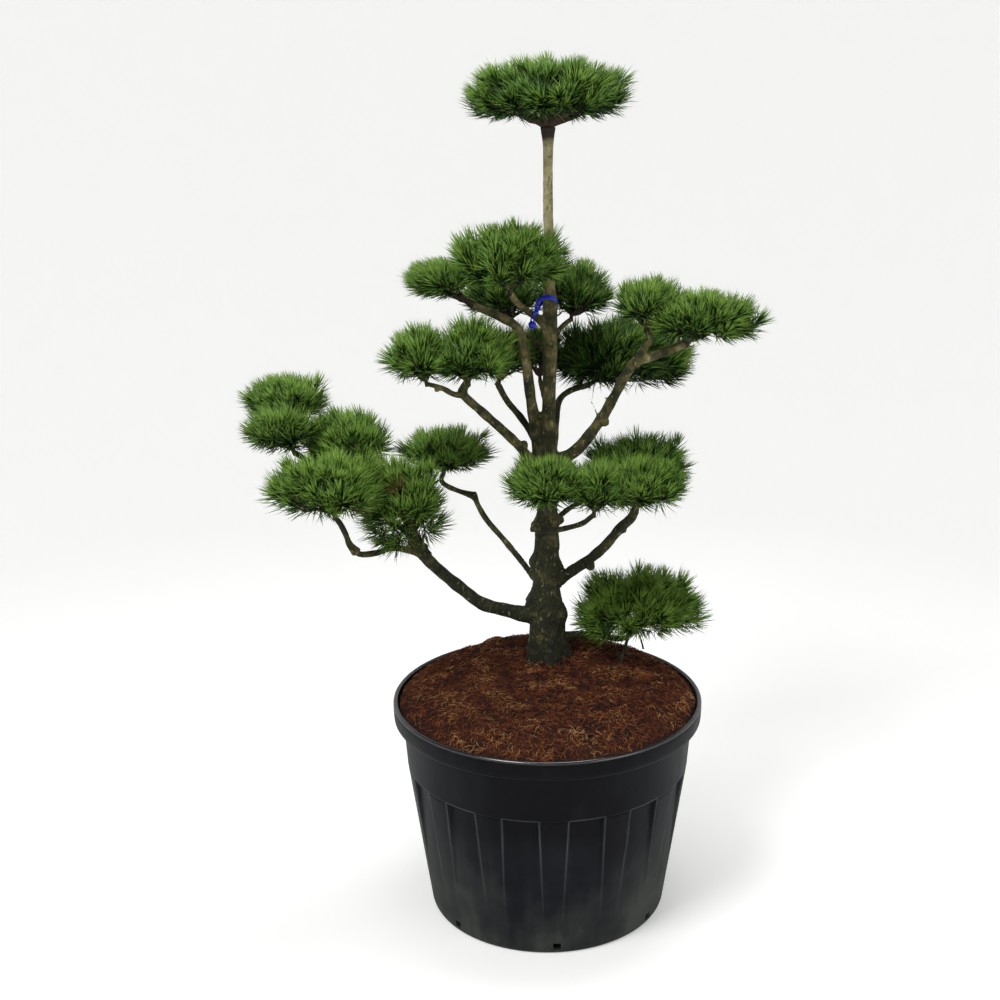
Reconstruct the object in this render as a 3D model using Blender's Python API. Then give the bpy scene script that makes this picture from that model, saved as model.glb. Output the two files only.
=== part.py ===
"""Cloud-pruned lodgepole pine in its black nursery pot, in metres, +Z up, pot standing on z = 0.

The camera side of the plant is -Y. The origin is the middle of the pot's flat underside.
"""

import math
import random

import bmesh
import bpy
from mathutils import Quaternion, Vector

GAP = 0.0003

# Nursery pot of about 100 litres, moulded plastic
POT_HEIGHT = 0.442
RIM_RADIUS = 0.310
RIM_DEPTH = 0.039
RIM_LIP = 0.009
RIM_ROUND = 0.004
RIM_DRAFT = 0.001
BAND_TOP_RADIUS = 0.292
BAND_FOOT_RADIUS = 0.284
BAND_FOOT_Z = 0.307
BAND_STEP = 0.001
FOOT_RADIUS = 0.240
FOOT_CHAMFER = 0.006
WALL = 0.006
FLOOR = 0.008
RIBS = 14
RIB_TURN = math.radians(2.5)
RIB_TOP_WIDTH = 0.056
RIB_FOOT_WIDTH = 0.030
RIB_EDGE = 0.006
PANEL_DEPTH = 0.010
PANEL_FOOT_Z = 0.095
HOLES = 7
HOLE_TURN = math.radians(-85.6)
HOLE_WIDTH = 0.015
HOLE_LOW_Z = 0.009
HOLE_HIGH_Z = 0.024
HOLE_SPARE = 0.010

# Coir mulch on the root ball: nearly level, rising a little towards the back, and low at its edge
MULCH_EDGE_Z = 0.434
MULCH_MOUND = 0.040
MULCH_POWER = 5.0
MULCH_RISE = 0.088
MULCH_CLEAR = 0.0006
SEAT_RADIUS = 0.068
MULCH_RINGS = (0.18, 0.42, 0.68, 0.88, 1.0)
MULCH_SIDES = 30

# Trunk: (x, y, z, radius) up its middle line, from the mulch to the hub of the top pad
TRUNK_SIDES = 10
TRUNK_FOOT = (0.001, 0.100)
TRUNK_LINE = (
    (0.001, 0.100, 0.484, 0.039), (-0.001, 0.098, 0.519, 0.036), (-0.001, 0.095, 0.564, 0.034),
    (-0.002, 0.092, 0.609, 0.031), (-0.003, 0.090, 0.653, 0.027), (-0.002, 0.088, 0.697, 0.0250),
    (-0.001, 0.085, 0.740, 0.0250), (-0.001, 0.083, 0.783, 0.0215), (0.001, 0.080, 0.867, 0.0185),
    (0.001, 0.077, 0.950, 0.0163), (0.003, 0.075, 1.031, 0.0130), (0.005, 0.073, 1.130, 0.0142),
    (0.005, 0.070, 1.227, 0.0138), (0.004, 0.069, 1.250, 0.0110), (0.003, 0.068, 1.322, 0.0100),
    (0.001, 0.065, 1.415, 0.0094), (0.001, 0.062, 1.506, 0.0096), (0.001, 0.060, 1.548, 0.0145),
)
ROOT_LOBES = 5
ROOT_TURN = 0.6
ROOT_FLARE = 0.19
FLARE_HEIGHT = 0.055
FINE_STEP = 0.019
COARSE_STEP = 0.045
FINE_UP_TO = 0.83

# Burls and stubs on the trunk: (height, compass angle in degrees, bulge, reach)
KNOBS = (
    (0.606, 180, 0.013, 0.030), (0.693, 178, 0.011, 0.026), (0.681, 0, 0.010, 0.022),
    (0.583, -15, 0.010, 0.028), (0.776, 215, 0.016, 0.020), (0.783, 5, 0.008, 0.018),
    (0.640, 100, 0.009, 0.026), (0.730, 70, 0.008, 0.024),
)
KNOB_FALL = 2.2
KNOB_ALLOWANCE = 1.35

# Boughs: name: (radius at the base, radius at the tip, limb it grows from, points along it)
BOUGH_SIDES = 6
BOUGHS = {
    "second_stem": (0.0122, 0.0080, "trunk", (
        (-0.003, 0.082, 0.905), (-0.017, 0.080, 0.936), (-0.032, 0.073, 1.031), (-0.041, 0.062, 1.105),
        (-0.055, 0.050, 1.172), (-0.090, 0.033, 1.200), (-0.142, 0.018, 1.225))),
    "upper_left_bough": (0.0078, 0.0060, "trunk", (
        (0.003, 0.072, 1.165), (-0.012, 0.066, 1.187), (-0.037, 0.048, 1.208), (-0.058, 0.028, 1.228),
        (-0.070, 0.010, 1.249))),
    "upper_back_bough": (0.0058, 0.0050, "trunk", (
        (0.006, 0.075, 1.135), (0.012, 0.100, 1.150), (0.028, 0.135, 1.165), (0.047, 0.167, 1.176))),
    "upper_rear_bough": (0.0055, 0.0048, "trunk", (
        (0.003, 0.074, 1.120), (-0.015, 0.100, 1.134), (-0.045, 0.130, 1.150), (-0.070, 0.155, 1.166))),
    "mid_left_bough": (0.0102, 0.0082, "trunk", (
        (0.000, 0.082, 0.861), (-0.014, 0.077, 0.881), (-0.052, 0.057, 0.938), (-0.085, 0.033, 0.978),
        (-0.123, 0.010, 1.019), (-0.159, -0.014, 1.059), (-0.157, -0.030, 1.075), (-0.150, -0.046, 1.088))),
    "mid_left_side_branch": (0.0060, 0.0045, "mid_left_bough", (
        (-0.157, -0.020, 1.062), (-0.174, -0.048, 1.067), (-0.196, -0.067, 1.083), (-0.222, -0.080, 1.093))),
    "mid_left_inner_bough": (0.0082, 0.0062, "trunk", (
        (0.000, 0.085, 0.872), (-0.012, 0.108, 0.905), (-0.028, 0.119, 0.945), (-0.052, 0.117, 0.985),
        (-0.080, 0.108, 1.022), (-0.098, 0.100, 1.058))),
    "mid_back_bough": (0.0060, 0.0050, "trunk", (
        (0.003, 0.080, 0.985), (0.000, 0.112, 1.000), (-0.006, 0.150, 1.018), (-0.012, 0.190, 1.034),
        (-0.015, 0.208, 1.045))),
    "small_left_bough": (0.0068, 0.0058, "trunk", (
        (-0.008, 0.098, 0.632), (-0.032, 0.100, 0.662), (-0.060, 0.104, 0.698), (-0.090, 0.108, 0.735),
        (-0.123, 0.112, 0.774), (-0.142, 0.116, 0.807), (-0.148, 0.119, 0.827))),
    "small_left_bough_end": (0.0056, 0.0050, "small_left_bough", (
        (-0.147, 0.119, 0.823), (-0.173, 0.120, 0.831), (-0.200, 0.120, 0.842), (-0.215, 0.120, 0.855),
        (-0.210, 0.120, 0.871))),
    "low_left_bough": (0.0142, 0.0112, "trunk", (
        (-0.010, 0.097, 0.572), (-0.037, 0.088, 0.577), (-0.078, 0.072, 0.593), (-0.131, 0.053, 0.615),
        (-0.171, 0.035, 0.653), (-0.216, 0.017, 0.700), (-0.248, 0.000, 0.741), (-0.263, -0.009, 0.768))),
    "low_left_branch": (0.0068, 0.0060, "low_left_bough", (
        (-0.244, -0.001, 0.737), (-0.270, -0.030, 0.756), (-0.300, -0.045, 0.765), (-0.328, -0.057, 0.759),
        (-0.355, -0.070, 0.760), (-0.368, -0.077, 0.768))),
    "low_left_branch_end": (0.0060, 0.0055, "low_left_branch", (
        (-0.364, -0.075, 0.766), (-0.376, -0.082, 0.785), (-0.381, -0.085, 0.803), (-0.390, -0.089, 0.826),
        (-0.399, -0.096, 0.842))),
    "left_rear_bough": (0.0085, 0.0070, "low_left_bough", (
        (-0.240, 0.004, 0.732), (-0.258, 0.020, 0.765), (-0.286, 0.032, 0.808), (-0.318, 0.038, 0.855),
        (-0.348, 0.040, 0.890))),
    "far_left_bough": (0.0065, 0.0055, "left_rear_bough", (
        (-0.308, 0.036, 0.840), (-0.345, 0.018, 0.858), (-0.400, 0.006, 0.885), (-0.448, 0.000, 0.918),
        (-0.484, -0.012, 0.946))),
    "far_left_top_bough": (0.0052, 0.0045, "far_left_bough", (
        (-0.446, 0.001, 0.916), (-0.460, 0.020, 0.950), (-0.478, 0.028, 0.986))),
    "centre_front_bough": (0.0065, 0.0055, "trunk", (
        (0.000, 0.075, 0.800), (0.000, 0.045, 0.811), (0.000, 0.000, 0.822), (0.000, -0.046, 0.836),
        (0.000, -0.074, 0.850))),
    "centre_middle_bough": (0.0062, 0.0052, "trunk", (
        (0.000, 0.080, 0.762), (-0.004, 0.054, 0.769), (0.026, 0.013, 0.785), (0.066, -0.025, 0.808),
        (0.088, -0.060, 0.836))),
    "centre_right_bough": (0.0114, 0.0094, "trunk", (
        (0.005, 0.093, 0.635), (0.020, 0.090, 0.651), (0.055, 0.068, 0.684), (0.082, 0.047, 0.710),
        (0.113, 0.025, 0.746), (0.142, 0.003, 0.790), (0.162, -0.018, 0.817), (0.168, -0.034, 0.838))),
    "right_upper_bough": (0.0125, 0.0080, "trunk", (
        (0.004, 0.078, 0.885), (0.019, 0.078, 0.904), (0.061, 0.073, 0.934), (0.104, 0.066, 0.993),
        (0.126, 0.059, 1.034), (0.151, 0.051, 1.085), (0.168, 0.044, 1.110), (0.200, 0.040, 1.123),
        (0.235, 0.034, 1.137), (0.264, 0.031, 1.149))),
    "right_upper_side_branch": (0.0075, 0.0060, "right_upper_bough", (
        (0.166, 0.045, 1.106), (0.186, 0.037, 1.140), (0.197, 0.034, 1.158), (0.188, 0.035, 1.174))),
    "right_back_bough": (0.0078, 0.0060, "trunk", (
        (0.008, 0.083, 0.922), (0.014, 0.105, 0.950), (0.018, 0.130, 0.985), (0.024, 0.162, 1.012),
        (0.046, 0.190, 1.026), (0.085, 0.212, 1.034))),
    "right_low_back_bough": (0.0060, 0.0050, "trunk", (
        (0.005, 0.086, 0.765), (0.020, 0.108, 0.778), (0.045, 0.130, 0.794), (0.087, 0.150, 0.810),
        (0.130, 0.164, 0.816), (0.168, 0.170, 0.823))),
    "low_right_bough": (0.0078, 0.0060, "trunk", (
        (0.015, 0.100, 0.522), (0.040, 0.100, 0.528), (0.078, 0.100, 0.531), (0.115, 0.100, 0.527),
        (0.145, 0.102, 0.520), (0.164, 0.105, 0.522), (0.174, 0.108, 0.532))),
    "back_bough": (0.0065, 0.0055, "trunk", (
        (0.000, 0.090, 0.706), (0.000, 0.125, 0.722), (0.003, 0.180, 0.742), (0.006, 0.230, 0.757),
        (0.008, 0.268, 0.769))),
}

# Masses of foliage: name: (limb that carries it, middle of its rim, half widths in x and y,
# height above the rim, depth below the rim)
MASSES = {
    "top_pad": ("trunk", (-0.001, 0.060, 1.600), 0.155, 0.149, 0.078, 0.056),
    "upper_left_pad": ("upper_left_bough", (-0.073, -0.030, 1.308), 0.118, 0.105, 0.080, 0.057),
    "upper_left_outer_pad": ("second_stem", (-0.204, -0.010, 1.271), 0.073, 0.078, 0.051, 0.034),
    "upper_back_pad": ("upper_back_bough", (0.054, 0.184, 1.222), 0.087, 0.082, 0.074, 0.064),
    "upper_rear_pad": ("upper_rear_bough", (-0.091, 0.173, 1.219), 0.092, 0.081, 0.068, 0.058),
    "right_upper_inner_pad": ("right_upper_side_branch", (0.195, 0.038, 1.222), 0.080, 0.073, 0.059, 0.042),
    "right_upper_pad": ("right_upper_bough", (0.295, 0.030, 1.193), 0.117, 0.108, 0.063, 0.052),
    "right_back_pad": ("right_back_bough", (0.156, 0.237, 1.077), 0.159, 0.121, 0.105, 0.078),
    "mid_left_outer_pad": ("mid_left_side_branch", (-0.235, -0.092, 1.137), 0.071, 0.082, 0.075, 0.055),
    "mid_left_pad": ("mid_left_bough", (-0.141, -0.072, 1.137), 0.086, 0.092, 0.080, 0.055),
    "mid_left_inner_pad": ("mid_left_inner_bough", (-0.076, 0.109, 1.109), 0.058, 0.069, 0.072, 0.040),
    "small_left_pad": ("small_left_bough_end", (-0.203, 0.120, 0.909), 0.099, 0.086, 0.061, 0.036),
    "far_left_top_pad": ("far_left_top_bough", (-0.507, 0.032, 1.035), 0.089, 0.086, 0.064, 0.042),
    "far_left_pad": ("far_left_bough", (-0.504, -0.042, 0.994), 0.080, 0.084, 0.060, 0.048),
    "left_front_pad": ("low_left_branch_end", (-0.408, -0.120, 0.899), 0.121, 0.104, 0.082, 0.060),
    "left_middle_pad": ("left_rear_bough", (-0.394, 0.042, 0.953), 0.097, 0.100, 0.076, 0.056),
    "left_inner_pad": ("low_left_bough", (-0.281, -0.048, 0.858), 0.099, 0.092, 0.104, 0.085),
    "centre_front_pad": ("centre_front_bough", (-0.001, -0.100, 0.902), 0.089, 0.088, 0.068, 0.044),
    "centre_middle_pad": ("centre_middle_bough", (0.094, -0.085, 0.892), 0.072, 0.078, 0.068, 0.055),
    "centre_right_pad": ("centre_right_bough", (0.181, -0.050, 0.889), 0.096, 0.096, 0.070, 0.054),
    "right_low_back_pad": ("right_low_back_bough", (0.183, 0.170, 0.869), 0.117, 0.094, 0.078, 0.046),
    "low_right_pad": ("low_right_bough", (0.193, 0.112, 0.581), 0.141, 0.113, 0.093, 0.065),
    "mid_back_pad": ("mid_back_bough", (-0.020, 0.225, 1.095), 0.062, 0.070, 0.066, 0.042),
    "back_pad": ("back_bough", (0.010, 0.300, 0.816), 0.074, 0.070, 0.050, 0.038),
}
NEEDLE_STAND = 0.025
CORE_LEAST_SHARE = 0.70
CORE_LOW_SHARE = 0.70
CORE_ROUGHNESS = 0.08
CORE_SMALLEST = 0.1
CORE_SUBDIVISIONS = 2
CORE_SHRINK = 0.9
SPRAYS_LEAST = 5
SPRAYS_PER_AREA = 190
LOWEST_SPRAY = -0.34
FIRST_SPRAY = 0.4
SPRAY_OUTLINE = ((0.0, 0.0), (0.86, 0.62), (0.52, 0.11), (1.0, 0.0), (0.52, -0.11), (0.86, -0.62))
SPRAY_MIDDLE = 0.40
SPRAY_THICK = 0.13
SPRAY_DROP = 0.005
SPRAY_SINK = 0.24
SPRAY_REACH = (0.96, 1.04)
RIB_TWIGS = 3
TWIG_SIDES = 3
HUB_SHARE = 0.38
STEM_TAPER = 0.6
TWIG_RADIUS = 0.0032
TWIG_TAPER = 0.6
TWIG_SINK = 0.08
TWIG_OUT = 0.62
TWIG_DROP = 0.12
LIMB_CLEAR = 0.0022
NEAR_LIMB = 1.15
SPACE_CLEAR = 0.028
GOLDEN_ANGLE = math.pi * (3 - math.sqrt(5))
SEED = 27
MOST_DEALS = 8
DEAL_STEP = 100
MERGE = 0.000002

# Blue tie round the trunk where the leader was trained on
TIE_Z = 1.222
TIE_HEIGHT = 0.007
TIE_THICK = 0.0016
TIE_TAIL_TURN = math.radians(-115)
TIE_TAIL = ((-0.015, 0.042, 1.221), (-0.024, 0.034, 1.206), (-0.028, 0.032, 1.186))
TIE_TAIL_RADIUS = 0.0032
TIE_TAIL_SIDES = 4

SMOOTH_UNDER = math.radians(40)
COLOURS = {
    "plastic": (0.035, 0.038, 0.042, 0.45),
    "coir": (0.105, 0.032, 0.014, 0.95),
    "bark": (0.075, 0.062, 0.032, 0.90),
    "needles": (0.050, 0.120, 0.018, 0.60),
    "tie": (0.010, 0.020, 0.350, 0.40),
}


def clear_scene():
    for thing in list(bpy.data.objects):
        bpy.data.objects.remove(thing, do_unlink=True)


def add_object(name, points, faces, kind):
    """A mesh object with its own material, its faces turned outwards."""
    mesh = bpy.data.meshes.new(name)
    mesh.from_pydata([tuple(point) for point in points], [], faces)
    turn_faces_out(mesh)
    thing = bpy.data.objects.new(name, mesh)
    bpy.context.scene.collection.objects.link(thing)
    thing.data.materials.append(make_material(name, kind))
    return thing


def turn_faces_out(mesh):
    work = bmesh.new()
    work.from_mesh(mesh)
    bmesh.ops.recalc_face_normals(work, faces=work.faces)
    if work.calc_volume(signed=True) < 0:
        bmesh.ops.reverse_faces(work, faces=work.faces)
    work.to_mesh(mesh)
    work.free()


def make_material(name, kind):
    red, green, blue, roughness = COLOURS[kind]
    material = bpy.data.materials.new(name)
    material.use_nodes = True
    shader = material.node_tree.nodes["Principled BSDF"]
    shader.inputs["Base Color"].default_value = (red, green, blue, 1)
    shader.inputs["Roughness"].default_value = roughness
    shader.inputs["Metallic"].default_value = 0
    return material


def shade(thing):
    thing.data.shade_smooth()
    thing.data.set_sharp_from_angle(angle=SMOOTH_UNDER)


def loft(name, rings, kind):
    """A closed skin over rings of equally many points, with a flat cap on each end.

    Its sides are triangles, so that a grown copy of it bends along the same lines.
    """
    count = len(rings[0])
    points = [point for ring in rings for point in ring]
    faces = []
    for level in range(len(rings) - 1):
        for side in range(count):
            here = level * count + side
            following = level * count + (side + 1) % count
            faces.append((here, following, following + count))
            faces.append((here, following + count, here + count))
    faces.append(tuple(reversed(range(count))))
    faces.append(tuple(range(len(points) - count, len(points))))
    return add_object(name, points, faces, kind)


def limb_rings(points, radii, sides):
    """Rings square to a polyline, with no twist between one and the next."""
    points = [Vector(point) for point in points]
    rings = []
    side = None
    for index, point in enumerate(points):
        before = points[max(index - 1, 0)]
        after = points[min(index + 1, len(points) - 1)]
        along = (after - before).normalized()
        if side is None:
            side = along.orthogonal()
        side = (side - along * side.dot(along)).normalized()
        other = along.cross(side)
        turns = [2 * math.pi * step / sides for step in range(sides)]
        rings.append([point + (side * math.cos(t) + other * math.sin(t)) * radii[index] for t in turns])
    return rings


def bough_radii(name, extra=0.0):
    base, tip, _, points = BOUGHS[name]
    last = len(points) - 1
    return [base + (tip - base) * index / last + extra for index in range(len(points))]


def cut(thing, cutter):
    """Takes the cutter's space out of an object and drops the cutter."""
    step = thing.modifiers.new("cut", "BOOLEAN")
    step.operation = "DIFFERENCE"
    step.object = cutter
    apply_modifiers(thing)
    bpy.data.objects.remove(cutter, do_unlink=True)


def apply_modifiers(thing):
    graph = bpy.context.evaluated_depsgraph_get()
    graph.update()
    made = bpy.data.meshes.new_from_object(thing.evaluated_get(graph))
    thing.modifiers.clear()
    thing.data = made


def keep_largest_piece(thing):
    """Merges points too close for a mesh to tell apart, and drops scraps and the skins of sealed hollows."""
    work = bmesh.new()
    work.from_mesh(thing.data)
    bmesh.ops.remove_doubles(work, verts=work.verts, dist=MERGE)
    bmesh.ops.dissolve_degenerate(work, edges=work.edges, dist=MERGE)
    unseen = set(work.faces)
    pieces = []
    while unseen:
        front = [unseen.pop()]
        piece = list(front)
        while front:
            face = front.pop()
            for edge in face.edges:
                for near in edge.link_faces:
                    if near in unseen:
                        unseen.discard(near)
                        front.append(near)
                        piece.append(near)
        pieces.append(piece)
    pieces.sort(key=lambda piece: sum(face.calc_area() for face in piece), reverse=True)
    loose = [face for piece in pieces[1:] for face in piece]
    bmesh.ops.delete(work, geom=loose, context="FACES")
    work.to_mesh(thing.data)
    work.free()


def rib_half_angle(z):
    share = min(max((z - FOOT_CHAMFER) / (BAND_FOOT_Z - FOOT_CHAMFER), 0), 1)
    width = RIB_FOOT_WIDTH + (RIB_TOP_WIDTH - RIB_FOOT_WIDTH) * share
    return width / 2 / wall_radius(z)


def wall_radius(z):
    return FOOT_RADIUS + (BAND_FOOT_RADIUS - FOOT_RADIUS) * z / BAND_FOOT_Z


def wall_ring(z, recessed=True):
    """One level of the ribbed wall: a proud rib, its two edges and the panel between ribs."""
    proud = wall_radius(z)
    depth = PANEL_DEPTH * min(max((z - PANEL_FOOT_Z) / (BAND_FOOT_Z - PANEL_FOOT_Z), 0), 1)
    panel = proud - (depth if recessed else 0)
    half = rib_half_angle(z)
    edge = RIB_EDGE / proud
    period = 2 * math.pi / RIBS
    ring = []
    for rib in range(RIBS):
        middle = RIB_TURN - math.pi / 2 + rib * period
        for angle, radius in (
            (middle - half, proud),
            (middle + half, proud),
            (middle + half + edge, panel),
            (middle + period / 2, panel),
            (middle + period - half - edge, panel),
        ):
            ring.append((radius * math.cos(angle), radius * math.sin(angle), z))
    return ring


def round_ring(radius, z, like):
    """A round level with its points at the angles of a ribbed one."""
    ring = []
    for x, y, _ in like:
        angle = math.atan2(y, x)
        ring.append((radius * math.cos(angle), radius * math.sin(angle), z))
    return ring


def inner_wall():
    """Heights and radii of the pot's inside: it keeps a wall behind the panels, the band and the rim."""
    return (
        (FLOOR, FOOT_RADIUS - WALL * 2),
        (BAND_FOOT_Z, BAND_FOOT_RADIUS - PANEL_DEPTH - WALL),
        (POT_HEIGHT - RIM_DEPTH, BAND_TOP_RADIUS - WALL),
        (POT_HEIGHT, RIM_RADIUS - RIM_LIP),
    )


def inner_radius(z):
    wall = inner_wall()
    for (low_z, low), (high_z, high) in zip(wall, wall[1:]):
        if z <= high_z:
            break
    return low + (high - low) * (z - low_z) / (high_z - low_z)


def make_pot():
    top = wall_ring(BAND_FOOT_Z)
    rim_foot = POT_HEIGHT - RIM_DEPTH
    foot = wall_ring(FOOT_CHAMFER)
    rings = [
        round_ring(FOOT_RADIUS - FOOT_CHAMFER, 0, foot),
        foot,
        wall_ring(PANEL_FOOT_Z),
        top,
        round_ring(BAND_FOOT_RADIUS, BAND_FOOT_Z + BAND_STEP, top),
        round_ring(BAND_TOP_RADIUS, rim_foot, top),
        round_ring(RIM_RADIUS - RIM_DRAFT, rim_foot + BAND_STEP / 2, top),
        round_ring(RIM_RADIUS, POT_HEIGHT - RIM_ROUND, top),
        round_ring(RIM_RADIUS - RIM_ROUND, POT_HEIGHT, top),
    ]
    rings += [round_ring(radius, z, top) for z, radius in reversed(inner_wall())]
    pot = loft("pot", rings, "plastic")
    for index in range(HOLES):
        cut(pot, drain_cutter(HOLE_TURN + index * 2 * math.pi / HOLES))
    shade(pot)
    return pot


def drain_cutter(turn):
    """A block through the wall just above the floor."""
    reach = (inner_radius(FLOOR) - HOLE_SPARE, FOOT_RADIUS + HOLE_SPARE)
    points = []
    for radius in reach:
        for across in (-HOLE_WIDTH / 2, HOLE_WIDTH / 2):
            for z in (HOLE_LOW_Z, HOLE_HIGH_Z):
                x = radius * math.cos(turn) - across * math.sin(turn)
                y = radius * math.sin(turn) + across * math.cos(turn)
                points.append((x, y, z))
    faces = [(0, 1, 3, 2), (4, 6, 7, 5), (0, 4, 5, 1), (2, 3, 7, 6), (0, 2, 6, 4), (1, 5, 7, 3)]
    return add_object("drain_cutter", points, faces, "plastic")


def mulch_height(x, y):
    out = math.hypot(x, y) / inner_radius(MULCH_EDGE_Z)
    heap = MULCH_MOUND + MULCH_RISE * max(y, 0)
    return MULCH_EDGE_Z + heap * (1 - min(out, 1) ** MULCH_POWER)


def mulch_radius(z):
    return (inner_radius(z) - MULCH_CLEAR) * math.cos(math.pi / MULCH_SIDES)


def make_mulch():
    """The root ball fills the pot; its top is a mound with a flat seat under the trunk."""
    centre_x, centre_y = TRUNK_FOOT
    seat_z = mulch_height(centre_x, centre_y)
    edge = mulch_radius(MULCH_EDGE_Z)
    side_heights = (FLOOR + GAP, BAND_FOOT_Z, POT_HEIGHT - RIM_DEPTH)
    rings = [[] for _ in range(len(MULCH_RINGS) + 4)]
    for side in range(MULCH_SIDES):
        turn = 2 * math.pi * side / MULCH_SIDES
        out_x = edge * math.cos(turn)
        out_y = edge * math.sin(turn)
        for level, z in enumerate(side_heights):
            reach = mulch_radius(z)
            rings[level].append((reach * math.cos(turn), reach * math.sin(turn), z))
        away = Vector((out_x - centre_x, out_y - centre_y)).normalized()
        seat_x = centre_x + away.x * SEAT_RADIUS
        seat_y = centre_y + away.y * SEAT_RADIUS
        rings[-1].append((seat_x, seat_y, seat_z))
        for level, share in enumerate(reversed(MULCH_RINGS)):
            x = seat_x + (out_x - seat_x) * share
            y = seat_y + (out_y - seat_y) * share
            rings[level + len(side_heights)].append((x, y, mulch_height(x, y)))
    mulch = loft("root_ball", rings, "coir")
    shade(mulch)
    return seat_z


def trunk_at(z):
    """Middle and radius of the trunk at a height, read along its line."""
    for low, high in zip(TRUNK_LINE, TRUNK_LINE[1:]):
        if z <= high[2]:
            break
    share = min(max((z - low[2]) / (high[2] - low[2]), 0), 1)
    x, y, _, radius = (a + (b - a) * share for a, b in zip(low, high))
    return Vector((x, y, z)), radius


def trunk_heights(foot_z):
    heights = [foot_z]
    while heights[-1] < TRUNK_LINE[-1][2] - FINE_STEP:
        step = FINE_STEP if heights[-1] < FINE_UP_TO else COARSE_STEP
        heights.append(min(heights[-1] + step, TRUNK_LINE[-1][2]))
    heights[-1] = TRUNK_LINE[-1][2]
    return heights


def trunk_radius(z, turn, foot_z):
    """Radius one way out: taper, root flare and the burls."""
    _, radius = trunk_at(z)
    flare = math.exp(-(z - foot_z) / FLARE_HEIGHT)
    radius *= 1 + ROOT_FLARE * flare * (1 + math.cos(ROOT_LOBES * turn + ROOT_TURN))
    for height, compass, bulge, reach in KNOBS:
        aside = math.atan2(math.sin(turn - math.radians(compass)), math.cos(turn - math.radians(compass)))
        distance = math.hypot(z - height, aside * radius)
        radius += bulge * math.exp(-((distance / reach) ** 2) * KNOB_FALL)
    return radius


def make_trunk(name, foot_z, extra=0.0):
    rings = []
    for z in trunk_heights(foot_z):
        middle, _ = trunk_at(z)
        ring = []
        for side in range(TRUNK_SIDES):
            turn = 2 * math.pi * side / TRUNK_SIDES
            radius = trunk_radius(z, turn, foot_z) + extra
            ring.append((middle.x + radius * math.cos(turn), middle.y + radius * math.sin(turn), z))
        rings.append(ring)
    if extra:
        rings[-1] = [(x, y, z + extra) for x, y, z in rings[-1]]
    return loft(name, rings, "bark")


def grown_copy(name, foot_z):
    """A limb a little thicker all round, to cut its neighbours clear of it."""
    extra = GAP / math.cos(math.pi / BOUGH_SIDES)
    if name == "trunk":
        return make_trunk("trunk_cutter", foot_z, extra)
    points = [Vector(point) for point in BOUGHS[name][3]]
    points[-1] += (points[-1] - points[-2]).normalized() * GAP
    return loft(name + "_cutter", limb_rings(points, bough_radii(name, extra), BOUGH_SIDES), "bark")


def make_bough(name, foot_z):
    bough = loft(name, limb_rings(BOUGHS[name][3], bough_radii(name), BOUGH_SIDES), "bark")
    cut(bough, grown_copy(BOUGHS[name][2], foot_z))
    keep_largest_piece(bough)
    shade(bough)


def limb_segments(foot_z):
    """Every limb as (start, end, radius at the start, radius at the end), the trunk with its burls."""
    line = [(trunk_at(z)[0], trunk_at(z)[1] * KNOB_ALLOWANCE) for z in trunk_heights(foot_z)]
    segments = [(a[0], b[0], a[1], b[1]) for a, b in zip(line, line[1:])]
    for name in BOUGHS:
        radii = bough_radii(name)
        points = [Vector(point) for point in BOUGHS[name][3]]
        segments += list(zip(points, points[1:], radii, radii[1:]))
    return segments


def touches_limb(point, segments):
    for start, end, first, last in segments:
        along = end - start
        share = min(max((point - start).dot(along) / along.length_squared, 0), 1)
        reach = first + (last - first) * share + LIMB_CLEAR
        if (point - start - along * share).length < reach:
            return True
    return False


def depth_in(name, point):
    """How far out a point lies in a mass: 0 at its middle, 1 on its outline."""
    _, middle, wide, deep, high, low = MASSES[name]
    x, y, z = point[0] - middle[0], point[1] - middle[1], point[2] - middle[2]
    tall = high if z > 0 else low
    return math.sqrt((x / wide) ** 2 + (y / deep) ** 2 + (z / tall) ** 2)


def near_masses(name):
    _, middle, wide, deep, high, _ = MASSES[name]
    found = []
    for other, (_, centre, other_wide, other_deep, other_high, _) in MASSES.items():
        if other == name:
            continue
        x, y, z = (abs(a - b) for a, b in zip(middle, centre))
        if x < wide + other_wide and y < deep + other_deep and z < high + other_high:
            found.append(other)
    return found


def in_own_space(name, point, others, clear=SPACE_CLEAR):
    own = depth_in(name, point)
    return all(own < depth_in(other, point) - clear for other in others)


def outline_point(name, way, share=1.0):
    """The point of a mass's outline in one direction, given as a unit vector."""
    _, middle, wide, deep, high, low = MASSES[name]
    tall = high if way[2] > 0 else low
    return Vector(middle) + Vector((way[0] * wide, way[1] * deep, way[2] * tall)) * share


def core_point(name, way, share=1.0):
    """A point of a mass's dense core, a needle's stand inside the outline and flatter underneath."""
    _, middle, wide, deep, high, low = MASSES[name]
    sizes = [max(size - NEEDLE_STAND, size * CORE_LEAST_SHARE) for size in (wide, deep, high)]
    tall = sizes[2] if way[2] > 0 else low * CORE_LOW_SHARE
    return Vector(middle) + Vector((way[0] * sizes[0], way[1] * sizes[1], way[2] * tall)) * share


def make_core(name, others, chance):
    work = bmesh.new()
    bmesh.ops.create_icosphere(work, subdivisions=CORE_SUBDIVISIONS, radius=1)
    for vertex in work.verts:
        way = vertex.co.normalized()
        share = 1 + chance.uniform(-CORE_ROUGHNESS, CORE_ROUGHNESS)
        while share > CORE_SMALLEST:
            if in_own_space(name, core_point(name, way, share), others, SPACE_CLEAR * 2):
                break
            share *= CORE_SHRINK
        vertex.co = core_point(name, way, share)
    points = [vertex.co.copy() for vertex in work.verts]
    faces = [[vertex.index for vertex in face.verts] for face in work.faces]
    work.free()
    return add_object(name, points, faces, "needles")


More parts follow.
